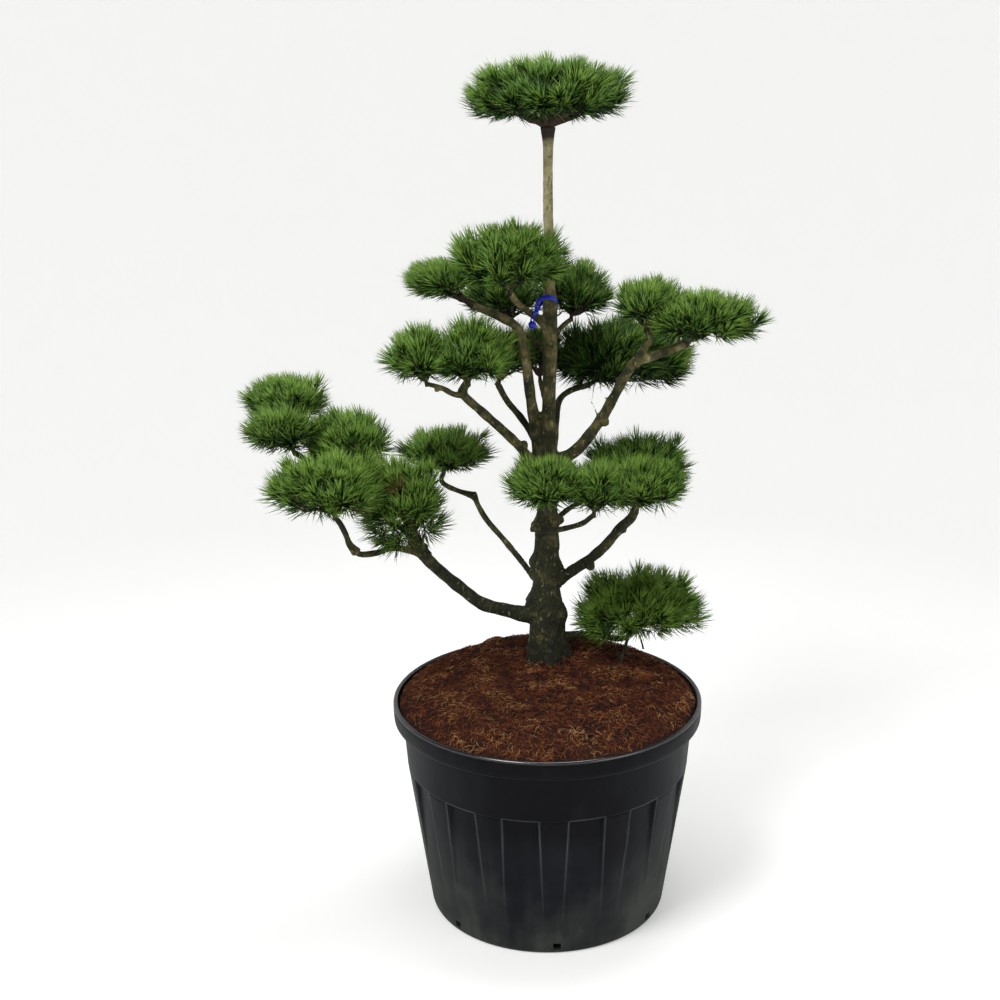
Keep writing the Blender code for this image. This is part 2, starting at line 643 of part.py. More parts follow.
def make_spray(base, tip, roll):
    """A toothed blade: three needle points, thick along its middle and sharp at its edge.

    Its points are its foot, the outline's five others in turn, and the two sides of its middle.
    """
    along = tip - base
    side = along.normalized().orthogonal()
    side.rotate(Quaternion(along.normalized(), roll))
    across = side.normalized() * along.length
    out = along.cross(side).normalized() * along.length
    points = [base + along * a + across * b for a, b in SPRAY_OUTLINE]
    count = len(points)
    points.append(base + along * SPRAY_MIDDLE + out * SPRAY_THICK / 2)
    points.append(base + along * SPRAY_MIDDLE - out * SPRAY_THICK / 2)
    faces = []
    for index in range(count):
        following = (index + 1) % count
        faces.append((index, following, count))
        faces.append((following, index, count + 1))
    return points, faces


def spray_ways(name, chance):
    """Directions spread evenly over the dome by the golden angle, from its top to just under its rim."""
    _, _, wide, deep, high, _ = MASSES[name]
    area = math.pi * (wide * deep + (wide + deep) * high / 2)
    count = SPRAYS_LEAST + round(area * SPRAYS_PER_AREA)
    start = chance.uniform(0, math.tau)
    for index in range(count):
        z = 1 - (1 - LOWEST_SPRAY) * (index + FIRST_SPRAY) / count
        turn = start + index * GOLDEN_ANGLE
        flat = math.sqrt(1 - z * z)
        yield Vector((flat * math.cos(turn), flat * math.sin(turn), z))


def spray_fits(name, points, others, segments):
    """Whether a spray's outline, and the way from its foot to each of its teeth, is free."""
    foot = points[0]
    edge = points[1:len(SPRAY_OUTLINE)]
    spread = edge + [(foot + tooth) / 2 for tooth in edge[::2]]
    if not all(in_own_space(name, point, others) for point in spread):
        return False
    return not any(touches_limb(point, segments) for point in [foot] + spread)


def mass_sprays(name, others, segments, chance):
    for way in spray_ways(name, chance):
        tip = outline_point(name, way, chance.uniform(*SPRAY_REACH))
        skin = core_point(name, way)
        base = skin - (tip - skin) * SPRAY_SINK / (1 - SPRAY_SINK) - Vector((0, 0, SPRAY_DROP))
        points, faces = make_spray(base, tip, chance.uniform(0, math.pi))
        if spray_fits(name, points, others, segments):
            yield points, faces


def hub_of(name):
    """Where the stem of a mass opens into its twigs, just beyond its bough's tip."""
    tip = limb_tip(name)
    return tip + (Vector(MASSES[name][1]) - tip) * HUB_SHARE


def limb_tip(name):
    carrier = MASSES[name][0]
    if carrier == "trunk":
        return Vector(TRUNK_LINE[-1][:3])
    return Vector(BOUGHS[carrier][3][-1])


def limb_tip_way(name):
    """The way a limb's end faces: the trunk's is level, a bough's is square to its last stretch."""
    carrier = MASSES[name][0]
    if carrier == "trunk":
        return Vector((0, 0, 1))
    line = BOUGHS[carrier][3]
    return (Vector(line[-1]) - Vector(line[-2])).normalized()


def limb_tip_radius(name):
    carrier = MASSES[name][0]
    return TRUNK_LINE[-1][3] if carrier == "trunk" else BOUGHS[carrier][1]


def stem_rings(name):
    """The stem goes on from the bough's tip, just clear of it, and ends inside the core."""
    start = limb_tip(name) + limb_tip_way(name) * GAP
    after = start + limb_tip_way(name) * limb_tip_radius(name)
    middle = Vector(MASSES[name][1])
    radius = limb_tip_radius(name)
    return limb_rings((start, after, middle), (radius, radius, radius * STEM_TAPER), BOUGH_SIDES)


def twig_rings(name, chance):
    """Three-sided twigs that fan out from the hub to the underside of the core."""
    hub = hub_of(name)
    start = chance.uniform(0, math.tau)
    for index in range(RIB_TWIGS):
        turn = start + index * math.tau / RIB_TWIGS
        end = outline_point(name, (TWIG_OUT * math.cos(turn), TWIG_OUT * math.sin(turn), -TWIG_DROP))
        line = (hub - (end - hub) * TWIG_SINK, end)
        yield limb_rings(line, (TWIG_RADIUS, TWIG_RADIUS * TWIG_TAPER), TWIG_SIDES)


def make_mass(name, foot_z, segments):
    """A mass of foliage. Where two sprays happen to meet edge on edge, it is dealt again."""
    others = near_masses(name)
    for deal in range(MOST_DEALS):
        chance = random.Random(SEED + list(MASSES).index(name) + DEAL_STEP * deal)
        mass = make_core(name, others, chance)
        pieces = [loft("stem", stem_rings(name), "bark")]
        for rings in twig_rings(name, chance):
            pieces.append(loft("twig", rings, "bark"))
        for points, faces in mass_sprays(name, others, segments, chance):
            pieces.append(add_object("spray", points, faces, "needles"))
        fuse(mass, pieces)
        for limb in limbs_through(name):
            cut(mass, grown_copy(limb, foot_z))
        keep_largest_piece(mass)
        if is_closed(mass):
            return
        bpy.data.objects.remove(mass, do_unlink=True)


def is_closed(thing):
    """Whether two faces meet at every edge."""
    work = bmesh.new()
    work.from_mesh(thing.data)
    closed = all(len(edge.link_faces) == 2 for edge in work.edges)
    work.free()
    return closed


def fuse(thing, pieces):
    """One union of an object with a collection of closed pieces, which are then removed."""
    group = bpy.data.collections.new("pieces")
    for piece in pieces:
        group.objects.link(piece)
    step = thing.modifiers.new("join", "BOOLEAN")
    step.operation = "UNION"
    step.operand_type = "COLLECTION"
    step.collection = group
    apply_modifiers(thing)
    for piece in pieces:
        bpy.data.objects.remove(piece, do_unlink=True)
    bpy.data.collections.remove(group)


def limbs_through(name):
    """Limbs that reach into a mass's space, apart from the tip of its own bough."""
    found = []
    if any(depth_in(name, row[:3]) < NEAR_LIMB for row in TRUNK_LINE[:-1]):
        found.append("trunk")
    for bough, (_, _, _, points) in BOUGHS.items():
        if bough != MASSES[name][0] and any(depth_in(name, point) < NEAR_LIMB for point in halfway(points)):
            found.append(bough)
    return found


def halfway(points):
    """The points of a line and the middles between them."""
    points = [Vector(point) for point in points]
    return points + [(a + b) / 2 for a, b in zip(points, points[1:])]


def make_tie():
    """A flat plastic strap round the trunk with a tail hanging in front."""
    middle, radius = trunk_at(TIE_Z)
    inner = radius + GAP
    rings = []
    for side in range(TRUNK_SIDES):
        turn = 2 * math.pi * side / TRUNK_SIDES
        ring = []
        for out, z in ((0, 0), (TIE_THICK, 0), (TIE_THICK, TIE_HEIGHT), (0, TIE_HEIGHT)):
            reach = inner + out
            x = middle.x + reach * math.cos(turn)
            y = middle.y + reach * math.sin(turn)
            ring.append((x, y, TIE_Z - TIE_HEIGHT / 2 + z))
        rings.append(ring)
    points = [point for ring in rings for point in ring]
    faces = []
    for side in range(TRUNK_SIDES):
        here = side * 4
        there = (side + 1) % TRUNK_SIDES * 4
        for corner in range(4):
            nearby = (corner + 1) % 4
            faces.append((here + corner, here + nearby, there + nearby, there + corner))
    tie = add_object("tie", points, faces, "tie")
    away = Vector((math.cos(TIE_TAIL_TURN), math.sin(TIE_TAIL_TURN), 0))
    line = [middle + away * (inner + TIE_THICK / 3), *TIE_TAIL]
    rings = limb_rings(line, [TIE_TAIL_RADIUS] * len(line), TIE_TAIL_SIDES)
    fuse(tie, [loft("tail", rings, "tie")])
    keep_largest_piece(tie)


clear_scene()
make_pot()
foot = make_mulch() + GAP
make_trunk("trunk", foot)
shade(bpy.data.objects["trunk"])
make_tie()
for bough_name in BOUGHS:
    make_bough(bough_name, foot)
every_segment = limb_segments(foot)
for mass_name in MASSES:
    make_mass(mass_name, foot, every_segment)
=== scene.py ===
import math

import bpy
import numpy as np
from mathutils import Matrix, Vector, noise


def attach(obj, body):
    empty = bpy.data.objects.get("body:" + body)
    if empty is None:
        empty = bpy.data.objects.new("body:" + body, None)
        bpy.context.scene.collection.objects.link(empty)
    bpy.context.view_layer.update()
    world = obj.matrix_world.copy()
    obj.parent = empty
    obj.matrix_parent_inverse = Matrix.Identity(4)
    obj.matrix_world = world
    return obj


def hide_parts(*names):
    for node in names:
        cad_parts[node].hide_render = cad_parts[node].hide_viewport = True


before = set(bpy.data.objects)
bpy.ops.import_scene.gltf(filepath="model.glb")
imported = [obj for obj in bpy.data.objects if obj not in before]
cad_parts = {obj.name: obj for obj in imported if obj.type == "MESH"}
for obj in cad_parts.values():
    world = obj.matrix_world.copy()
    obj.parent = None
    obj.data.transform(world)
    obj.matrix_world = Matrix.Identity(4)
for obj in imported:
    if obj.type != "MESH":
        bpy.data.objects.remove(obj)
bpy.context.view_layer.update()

# Nursery pot of about 100 litres: black polypropylene, injection moulded in one piece, with a rolled
# rim, a plain band under it and fourteen stiffening ribs whose panels fade out towards the foot. Years
# outdoors have left it scuffed, with a film of grey-green dust low down. Its colour also holds painted
# light: highlights along the scuffed edges, shade up under the band, and a reflection that darkens the
# front and lightens the flanks.
POT_HEIGHT = 0.442
POT_FLOOR = 0.008
POT_STEPS = 420
FOOT_RADIUS = 0.240
BAND_FOOT_Z = 0.307
BAND_FOOT_RADIUS = 0.284
BAND_TOP_RADIUS = 0.292
LEDGE_INSET = 0.0010
RIM_RADIUS = 0.310
RIM_DEPTH = 0.039
RIM_ROLL = 0.0048
ROLL_LEVELS = 9
ROLL_FOOT_Z = POT_HEIGHT - 1.1 * RIM_ROLL
RIBS = 14
RIB_TURN = math.radians(2.5)
RIB_PERIOD = 2 * math.pi / RIBS
RIB_FOOT_Z = 0.006
RIB_FOOT_WIDTH = 0.030
RIB_TOP_WIDTH = 0.056
RIB_FILLET = 0.007
PANEL_FOOT_Z = 0.095
PANEL_DEPTH = 0.010
# Profiles as (height, radius). Those of the band and the rim are counted from the edges they start at
FOOT_PROFILE = ((0.0, 0.060), (0.0, 0.233), (0.0006, 0.2362), (0.002, 0.2384), (0.005, 0.2402))
BAND_PROFILE = ((0.0005, -0.0004), (0.0016, 0.0002), (0.004, 0.0005), (0.009, 0.0007),
                (0.04, 0.0032), (0.088, 0.0072))
RIM_UNDERSIDE = ((-0.004, 0.0), (-0.0012, 0.0010), (0.0, 0.0034), (0.0002, 0.0110))
RIM_SKIRT = ((0.0006, -0.0050), (0.0016, -0.0026), (0.004, -0.0012), (0.012, -0.0006), (0.024, 0.0))
INNER_PROFILE = ((0.428, 0.2985), (0.405, 0.2868), (BAND_FOOT_Z, 0.268), (POT_FLOOR, 0.228))
# Levels of the wall as (from, to, step), closer under the band, where the panels end
WALL_LEVELS = ((0.008, 0.288, 0.0056), (0.288, BAND_FOOT_Z - 0.001, 0.0026))
DRAIN_HOLES = 7
DRAIN_TURN = math.radians(-85.6)
DRAIN_WIDTH = 0.015
DRAIN_Z = (0.009, 0.024)
DRAIN_RADIUS = 0.236
DRAIN_CUT = 0.036
# Rib edges and the line along the band's foot: scuffed grey, with a painted highlight. Their width, the
# heights the rib lines fade in over, and the line's width
SCUFF_AND_HIGHLIGHT_WIDTH = 0.0026
SCUFF_AND_HIGHLIGHT_FADE = (0.06, 0.26)
BRINK_WIDTH = 0.0013
CREASE = math.radians(42)


def srgb(colour):
    """Linear RGBA of an sRGB hex colour."""
    parts = [int(colour[i:i + 2], 16) / 255 for i in (1, 3, 5)]
    linear = [c / 12.92 if c <= 0.04045 else ((c + 0.055) / 1.055) ** 2.4 for c in parts]
    return (*linear, 1.0)


def wire(tree, made, inputs):
    """Fills a node's inputs, each with a value or with a link from a socket or a node's output in use."""
    for name, value in inputs.items():
        if isinstance(value, bpy.types.Node):
            value = next(output for output in value.outputs if output.enabled)
        if isinstance(value, bpy.types.NodeSocket):
            tree.links.new(value, made.inputs[name])
        else:
            made.inputs[name].default_value = value


def node(tree, kind, inputs, stops=(), **settings):
    """Adds a node with its settings and links. A colour ramp also takes its (place, hex colour) stops."""
    made = tree.nodes.new("ShaderNode" + kind)
    for name, value in settings.items():
        setattr(made, name, value)
    elements = made.color_ramp.elements if stops else ()
    while len(elements) < len(stops):
        elements.new(0.5)
    for element, (place, colour) in zip(elements, stops):
        element.position = place
        element.color = srgb(colour)
    wire(tree, made, inputs)
    return made


def start_material(name, colour, roughness, ior=1.45):
    """A material of one plain finish, with its tree and shader for what is added to it."""
    material = bpy.data.materials.new(name)
    material.use_nodes = True
    tree = material.node_tree
    shader = tree.nodes["Principled BSDF"]
    wire(tree, shader, {"Base Color": srgb(colour), "Roughness": roughness, "IOR": ior})
    return material, tree, shader


def add_piece(name, points, faces, materials, nodes, worn=None):
    """One piece of the visual model from arrays of points and faces. worn gives each face's material."""
    points = np.ascontiguousarray(points, np.float32)
    faces = np.ascontiguousarray(faces, np.int32)
    mesh = bpy.data.meshes.new(name)
    mesh.vertices.add(len(points))
    mesh.vertices.foreach_set("co", points.ravel())
    mesh.loops.add(faces.size)
    mesh.loops.foreach_set("vertex_index", faces.ravel())
    mesh.polygons.add(len(faces))
    mesh.polygons.foreach_set("loop_start", np.arange(len(faces), dtype=np.int32) * faces.shape[1])
    for material in materials:
        mesh.materials.append(material)
    if worn is not None:
        mesh.polygons.foreach_set("material_index", np.ascontiguousarray(worn, np.int32))
    mesh.update(calc_edges=True)
    mesh.validate()
    piece = bpy.data.objects.new(name, mesh)
    bpy.context.scene.collection.objects.link(piece)
    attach(piece, "root")
    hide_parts(*nodes)
    return piece


def turned_faces(levels, steps):
    """Triangles of a skin over closed rings, with a fan to a point at each end."""
    level, step = np.meshgrid(np.arange(levels - 1), np.arange(steps), indexing="ij")
    here = (level * steps + step).ravel()
    beside = (level * steps + (step + 1) % steps).ravel()
    skin = np.concatenate([
        np.stack([here, beside, beside + steps], 1),
        np.stack([here, beside + steps, here + steps], 1),
    ])
    ring = np.arange(steps)
    following = (ring + 1) % steps
    last = (levels - 1) * steps
    start = np.stack([np.full(steps, levels * steps), following, ring], 1)
    end = np.stack([ring + last, following + last, np.full(steps, levels * steps + 1)], 1)
    return np.concatenate([skin, start, end])


def smooth_step(x):
    x = np.clip(x, 0, 1)
    return x * x * (3 - 2 * x)


def ring_at(z, reach, turns, x=0.0, y=0.0):
    """A level ring of points. reach is one radius, or one for each of the turns."""
    return np.stack([x + reach * np.cos(turns), y + reach * np.sin(turns), np.full(len(turns), z)], 1)


def pot_wall_radius(z):
    return FOOT_RADIUS + (BAND_FOOT_RADIUS - FOOT_RADIUS) * z / BAND_FOOT_Z


def pot_ring(radius, z, turns, recess):
    """One level of the pot. Where recess is above 0 the panels between the ribs lie that much deeper."""
    if recess > 0:
        share = (z - RIB_FOOT_Z) / (BAND_FOOT_Z - RIB_FOOT_Z)
        half = (RIB_FOOT_WIDTH + (RIB_TOP_WIDTH - RIB_FOOT_WIDTH) * share) / 2 / radius
        aside = (turns - RIB_TURN + math.pi / 2 + RIB_PERIOD / 2) % RIB_PERIOD - RIB_PERIOD / 2
        radius = radius - recess * smooth_step((np.abs(aside) - half) * radius / RIB_FILLET)
    return ring_at(z, radius, turns)


def pot_levels():
    """Heights, radii and panel depths from the middle of the underside round to the inner floor."""
    rim_foot = POT_HEIGHT - RIM_DEPTH
    levels = [(z, radius, 0) for z, radius in FOOT_PROFILE]
    for z in np.concatenate([np.arange(*run) for run in WALL_LEVELS]):
        depth = PANEL_DEPTH * min(max((z - PANEL_FOOT_Z) / (BAND_FOOT_Z - PANEL_FOOT_Z), 0), 1)
        levels.append((z, pot_wall_radius(z), depth))
    levels.append((BAND_FOOT_Z, BAND_FOOT_RADIUS - LEDGE_INSET, PANEL_DEPTH))
    for profile, foot_z, foot_radius in (
            (BAND_PROFILE, BAND_FOOT_Z, BAND_FOOT_RADIUS),
            (RIM_UNDERSIDE, rim_foot, BAND_TOP_RADIUS),
            (RIM_SKIRT, rim_foot, RIM_RADIUS)):
        levels += [(foot_z + up, foot_radius + out, 0) for up, out in profile]
    for turn in np.linspace(0, math.pi, ROLL_LEVELS):
        levels.append((POT_HEIGHT - RIM_ROLL + RIM_ROLL * math.sin(turn),
                       RIM_RADIUS - RIM_ROLL + RIM_ROLL * math.cos(turn), 0))
    return levels + [(z, radius, 0) for z, radius in INNER_PROFILE]


def make_pot_mesh():
    turns = np.linspace(0, 2 * math.pi, POT_STEPS, endpoint=False)
    rings = [pot_ring(radius, z, turns, recess) for z, radius, recess in pot_levels()]
    ends = np.array([(0, 0, 0), (0, 0, POT_FLOOR)])
    return np.concatenate(rings + [ends]), turned_faces(len(rings), POT_STEPS)


def bake_steps(piece):
    """Puts the result of a piece's modifiers in place of its mesh."""
    made = bpy.data.meshes.new_from_object(piece.evaluated_get(bpy.context.evaluated_depsgraph_get()))
    piece.modifiers.clear()
    piece.data = made


def cut_drain_holes(pot):
    """Seven square outlets through the wall just above the floor."""
    boxes = []
    for index in range(DRAIN_HOLES):
        turn = DRAIN_TURN + index * 2 * math.pi / DRAIN_HOLES
        bpy.ops.mesh.primitive_cube_add(size=1)
        box = bpy.context.object
        box.scale = (DRAIN_CUT, DRAIN_WIDTH, DRAIN_Z[1] - DRAIN_Z[0])
        box.rotation_euler = (0, 0, turn)
        box.location = (DRAIN_RADIUS * math.cos(turn), DRAIN_RADIUS * math.sin(turn), sum(DRAIN_Z) / 2)
        boxes.append(box)
    for box in boxes:
        step = pot.modifiers.new("drain", "BOOLEAN")
        step.operation = "DIFFERENCE"
        step.solver = "MANIFOLD"
        step.object = box
    bake_steps(pot)
    for box in boxes:
        bpy.data.objects.remove(box, do_unlink=True)


def rib_edge(tree, x, y, height):
    """How near a point of the wall lies to the edge of a rib or of the band, from 0 to 1. The ribs' edges
    fade out towards the foot."""
    turn = node(tree, "Math", {0: y, 1: x}, operation="ARCTAN2")
    turn = node(tree, "Math", {0: turn, 1: math.pi / 2 - RIB_TURN}, operation="ADD")
    turn = node(tree, "Math", {0: turn, 1: RIB_PERIOD / 2, 2: -RIB_PERIOD / 2}, operation="WRAP")
    turn = node(tree, "Math", {0: turn}, operation="ABSOLUTE")
    radius = node(tree, "MapRange", {
        "Value": height, "From Max": BAND_FOOT_Z, "To Min": FOOT_RADIUS, "To Max": BAND_FOOT_RADIUS})
    half = node(tree, "MapRange", {
        "Value": height, "From Max": BAND_FOOT_Z,
        "To Min": RIB_FOOT_WIDTH / 2, "To Max": RIB_TOP_WIDTH / 2})
    aside = node(tree, "Math", {0: turn, 1: radius}, operation="MULTIPLY")
    aside = node(tree, "Math", {0: aside, 1: half}, operation="SUBTRACT")
    panel = node(tree, "Math", {0: aside, 1: 0.0}, operation="GREATER_THAN")
    gap = node(tree, "Math", {0: aside}, operation="ABSOLUTE")
    near = node(tree, "MapRange", {"Value": gap, "From Max": SCUFF_AND_HIGHLIGHT_WIDTH, "To Min": 1.0, "To Max": 0.0})
    above = node(tree, "MapRange", {
        "Value": height, "From Min": SCUFF_AND_HIGHLIGHT_FADE[0], "From Max": SCUFF_AND_HIGHLIGHT_FADE[1]})
    under = node(tree, "Math", {0: height, 1: BAND_FOOT_Z}, operation="LESS_THAN")
    share = node(tree, "Math", {0: near, 1: above}, operation="MULTIPLY")
    share = node(tree, "Math", {0: share, 1: under}, operation="MULTIPLY")
    brink = node(tree, "Math", {
        0: height, 1: BAND_FOOT_Z + BRINK_WIDTH, 2: BRINK_WIDTH}, operation="COMPARE")
    brink = node(tree, "Math", {0: brink, 1: panel}, operation="MULTIPLY")
    return node(tree, "Math", {0: share, 1: brink}, operation="MAXIMUM")


def pot_plastic(name, gloss, polish):
    """Moulded black polypropylene: blue-black, and scuffed grey on the edges of its ribs and along the
    band's foot, with a painted highlight there as well. Dust dulls it low down; painted shade darkens it
    up under the band, and a painted reflection darkens its front and lightens its flanks. Hands have
    polished the rolled rim, so that it alone still shines."""
    material, tree, shader = start_material(name, "#1D2023", 0.42, ior=1.49)
    place = node(tree, "TexCoord", {}).outputs["Object"]
    x, y, height = node(tree, "SeparateXYZ", {"Vector": place}).outputs
    # Smears a hand wide, runs of dirty water about 30 mm apart, and the mould's grain of about 6 mm
    smears = node(tree, "TexNoise", {"Vector": place, "Scale": 7.0, "Detail": 8.0, "Roughness": 0.6})
    stretch = node(tree, "Mapping", {"Vector": place, "Scale": (34.0, 34.0, 3.0)})
    runs = node(tree, "TexNoise", {"Vector": stretch, "Scale": 1.0, "Detail": 4.0})
    grain = node(tree, "TexNoise", {"Vector": place, "Scale": 160.0, "Detail": 3.0})
    # Lighter low down with dust, and darker higher up towards the band as painted shade under it
    low = node(tree, "MapRange", {"Value": height, "From Max": 0.27, "To Min": 0.42, "To Max": 0.12})
    # Painted reflection, with some dust on the flanks: darker on the front (towards -y), lighter on the
    # flanks and back
    flank_dust_and_reflection = node(tree, "MapRange", {
        "Value": y, "From Min": -0.29, "From Max": -0.16, "To Min": -0.06, "To Max": 0.10})
    # Dust, painted shade and painted reflection summed into one value that sets colour and roughness
    dust_and_painted_light = node(tree, "Math", {0: smears, 1: 0.62, 2: low}, operation="MULTIPLY_ADD")
    dust_and_painted_light = node(tree, "Math", {0: dust_and_painted_light, 1: flank_dust_and_reflection}, operation="ADD")
    dust_and_painted_light = node(tree, "Math", {0: runs, 1: 0.28, 2: dust_and_painted_light}, operation="MULTIPLY_ADD")
    colour = node(tree, "ValToRGB", {"Fac": dust_and_painted_light}, stops=(
        (0.52, "#06070C"), (0.68, "#14161B"), (0.84, "#2B2E2E"), (0.98, "#424540")))
    # Scuffs on the rib edges and along the band's foot, lightened further as a painted highlight of edges
    # catching light
    scuff_and_highlight = node(tree, "Math", {0: rib_edge(tree, x, y, height), 1: smears}, operation="MULTIPLY")
    wire(tree, shader, {
        "Specular IOR Level": gloss,
        "Base Color": node(tree, "Mix", {0: scuff_and_highlight, 6: colour, 7: srgb("#565C5E")}, data_type="RGBA"),
        "Roughness": node(tree, "MapRange", {
            "Value": dust_and_painted_light, "From Min": 0.5, "To Min": 0.34 * polish, "To Max": 0.66 * polish}),
        "Normal": node(tree, "Bump", {"Height": grain, "Strength": 0.12, "Distance": 0.0006})})
    return material


pot_points, pot_faces = make_pot_mesh()
# Faces of the rolled rim, which take the second material
on_rim = pot_points[pot_faces][..., 2].min(1) > ROLL_FOOT_Z
pot_materials = [pot_plastic("moulded_polypropylene_wall", gloss=0.10, polish=1.0),
                 pot_plastic("moulded_polypropylene_rim", gloss=1.0, polish=0.62)]
pot = add_piece("nursery_pot", pot_points, pot_faces, pot_materials, ["pot"], on_rim)
cut_drain_holes(pot)
pot.data.shade_smooth()
pot.data.set_sharp_from_angle(angle=CREASE)

# Coir mulch over the root ball: shredded coconut husk, nearly level and a little higher at the back.
# Brown dust shows between thousands of short loose fibres, a few of them bleached to tan.
MULCH_EDGE_Z = 0.434
MULCH_MOUND = 0.040
MULCH_POWER = 5.0
MULCH_RISE = 0.088
MULCH_RADIUS = 0.2975
MULCH_RINGS = 78
MULCH_STEPS = 220
# Unevenness of the husk, as (lumps to a metre, height)
HEAPS = (30, 0.0065)
CRUMBS = (100, 0.0036)
CRUMB_SEED = 7.0
GRAIN_HEIGHT = 0.0014
BED_SUNK = 0.0035
BED_MIDDLE_SUNK = 0.004
BED_FOOT_Z = MULCH_EDGE_Z - 0.060
BED_FOOT_SHARE = 0.93
FIBRES = 15000
FIBRE_LENGTH = (0.008, 0.030)
FIBRE_TRIM = (0.6, 1)
FIBRE_RADIUS = (0.00035, 0.00080)
FIBRE_BEND = 0.27
# Stations of a fibre, as (share of its length, share of its bend)
FIBRE_BOW = ((-0.5, 0), (-0.16, 1), (0.18, 0.9), (0.5, 0))
FIBRE_LIFT = 0.0022
FIBRE_SINK = (-0.001, 0.0015)
FIBRE_INSET = 0.004
FIBRE_EDGE_GAP = 0.001
FIBRE_COLOURS = ("#371508", "#672E13", "#8A481E", "#A86832", "#C4945C")
FIBRE_SHARES = (0.32, 0.30, 0.22, 0.11, 0.05)
# Fibres of one colour lie together, in patches of about 50 mm
PATCHES = 19
PATCH_SEED = 3.0
PATCH_DEPTH = 0.40


def mulch_height(x, y):
    out = np.hypot(x, y) / MULCH_RADIUS
    heap = MULCH_MOUND + MULCH_RISE * np.maximum(y, 0)
    return MULCH_EDGE_Z + heap * (1 - np.minimum(out, 1) ** MULCH_POWER)


def lumps(points, scale, seed=0.0):
    """Smooth noise from -1 to 1 at each point; scale is how many lumps there are to a metre."""
    return np.array([noise.noise(Vector((x * scale + seed, y * scale, z * scale))) for x, y, z in points])


def strands(lines, radii, sides=3):
    """Thin closed slips along many lines at once: a point at each end and rings between them."""
    count, stations = lines.shape[:2]
    along = lines[:, 2:] - lines[:, :-2]
    along /= np.linalg.norm(along, axis=2, keepdims=True)
    upright = np.abs(along[:, :1, 2:]) > 0.8
    across = np.where(upright, (1.0, 0.0, 0.0), (0.0, 0.0, 1.0))
    side = np.cross(along, across)
    side /= np.linalg.norm(side, axis=2, keepdims=True)
    other = np.cross(along, side)
    turns = 2 * math.pi * np.arange(sides) / sides
    spoke = side[:, :, None] * np.cos(turns)[:, None] + other[:, :, None] * np.sin(turns)[:, None]
    rings = lines[:, 1:-1, None] + spoke * radii[:, :, None, None]
    points = np.concatenate([lines[:, :1], rings.reshape(count, -1, 3), lines[:, -1:]], axis=1)
    each = points.shape[1]
    faces = []
    for s in range(sides):
        t = (s + 1) % sides
        faces.append((0, 1 + t, 1 + s))
        for level in range(stations - 3):
            low, high = 1 + level * sides, 1 + (level + 1) * sides
            faces.append((low + s, low + t, high + t))
            faces.append((low + s, high + t, high + s))
        last = 1 + (stations - 3) * sides
        faces.append((last + s, last + t, each - 1))
    faces = np.array(faces)[None] + np.arange(count)[:, None, None] * each
    return points.reshape(-1, 3), faces.reshape(-1, 3), faces.shape[1]


def mulch_heaps(points):
    each, height = HEAPS
    return lumps(points * (1, 1, 0), each) * height


def make_mulch_bed():
    chance = np.random.default_rng(5)
    shares = np.linspace(0, 1, MULCH_RINGS + 1)[1:]
    turns = np.linspace(0, 2 * math.pi, MULCH_STEPS, endpoint=False)
    x = (shares[:, None] * MULCH_RADIUS * np.cos(turns)).ravel()
    y = (shares[:, None] * MULCH_RADIUS * np.sin(turns)).ravel()
    top = np.stack([x, y, mulch_height(x, y)], 1)
    rough = mulch_heaps(top) + lumps(top, CRUMBS[0], CRUMB_SEED) * CRUMBS[1]
    rough = rough + chance.uniform(-1, 1, len(top)) * GRAIN_HEIGHT
    top[:, 2] += rough - BED_SUNK
    top = top.reshape(MULCH_RINGS, MULCH_STEPS, 3)
    low = top[-1] * (BED_FOOT_SHARE, BED_FOOT_SHARE, 0) + (0, 0, BED_FOOT_Z)
    rings = np.concatenate([low[None], top[::-1]])
    ends = np.array([(0, 0, BED_FOOT_Z), (0, 0, mulch_height(0, 0) - BED_MIDDLE_SUNK)])
    return np.concatenate([rings.reshape(-1, 3), ends]), turned_faces(MULCH_RINGS + 1, MULCH_STEPS)


def lay_fibres():
    """Bent fibres dealt evenly over the bed, each lying close to its surface."""
    chance = np.random.default_rng(11)
    out = np.sqrt(chance.uniform(0, 1, FIBRES)) * (MULCH_RADIUS - FIBRE_INSET)
    turn = chance.uniform(0, 2 * math.pi, FIBRES)
    middle = np.stack([out * np.cos(turn), out * np.sin(turn)], 1)
    way = chance.uniform(0, 2 * math.pi, FIBRES)
    length = chance.uniform(*FIBRE_LENGTH, FIBRES) * chance.uniform(*FIBRE_TRIM, FIBRES)
    ahead = np.stack([np.cos(way), np.sin(way)], 1)
    aside = np.stack([-np.sin(way), np.cos(way)], 1)
    bend = chance.normal(0, FIBRE_BEND, FIBRES) * length
    lift = np.abs(chance.normal(0.0, FIBRE_LIFT, (FIBRES, 4))) + chance.uniform(*FIBRE_SINK, (FIBRES, 1))
    lines = np.zeros((FIBRES, len(FIBRE_BOW), 3))
    for station, (share, bow) in enumerate(FIBRE_BOW):
        flat = middle + ahead * (share * length)[:, None] + aside * (bow * bend)[:, None]
        flat /= np.maximum(np.hypot(*flat.T) / (MULCH_RADIUS - FIBRE_EDGE_GAP), 1)[:, None]
        lines[:, station, :2] = flat
        lines[:, station, 2] = mulch_height(*flat.T) + lift[:, station]
    lines[:, :, 2] += mulch_heaps(lines[:, 1])[:, None]
    radii = np.repeat(chance.uniform(*FIBRE_RADIUS, (FIBRES, 1)), 2, axis=1)
    points, faces, each = strands(lines, radii)
    patches = lumps(np.append(middle, np.zeros((FIBRES, 1)), 1), PATCHES, PATCH_SEED)
    pick = np.clip(chance.uniform(0, 1, FIBRES) + PATCH_DEPTH * patches, 0, 1)
    colour = np.searchsorted(np.cumsum(FIBRE_SHARES)[:-1], pick)
    return points, faces, np.repeat(colour, each)


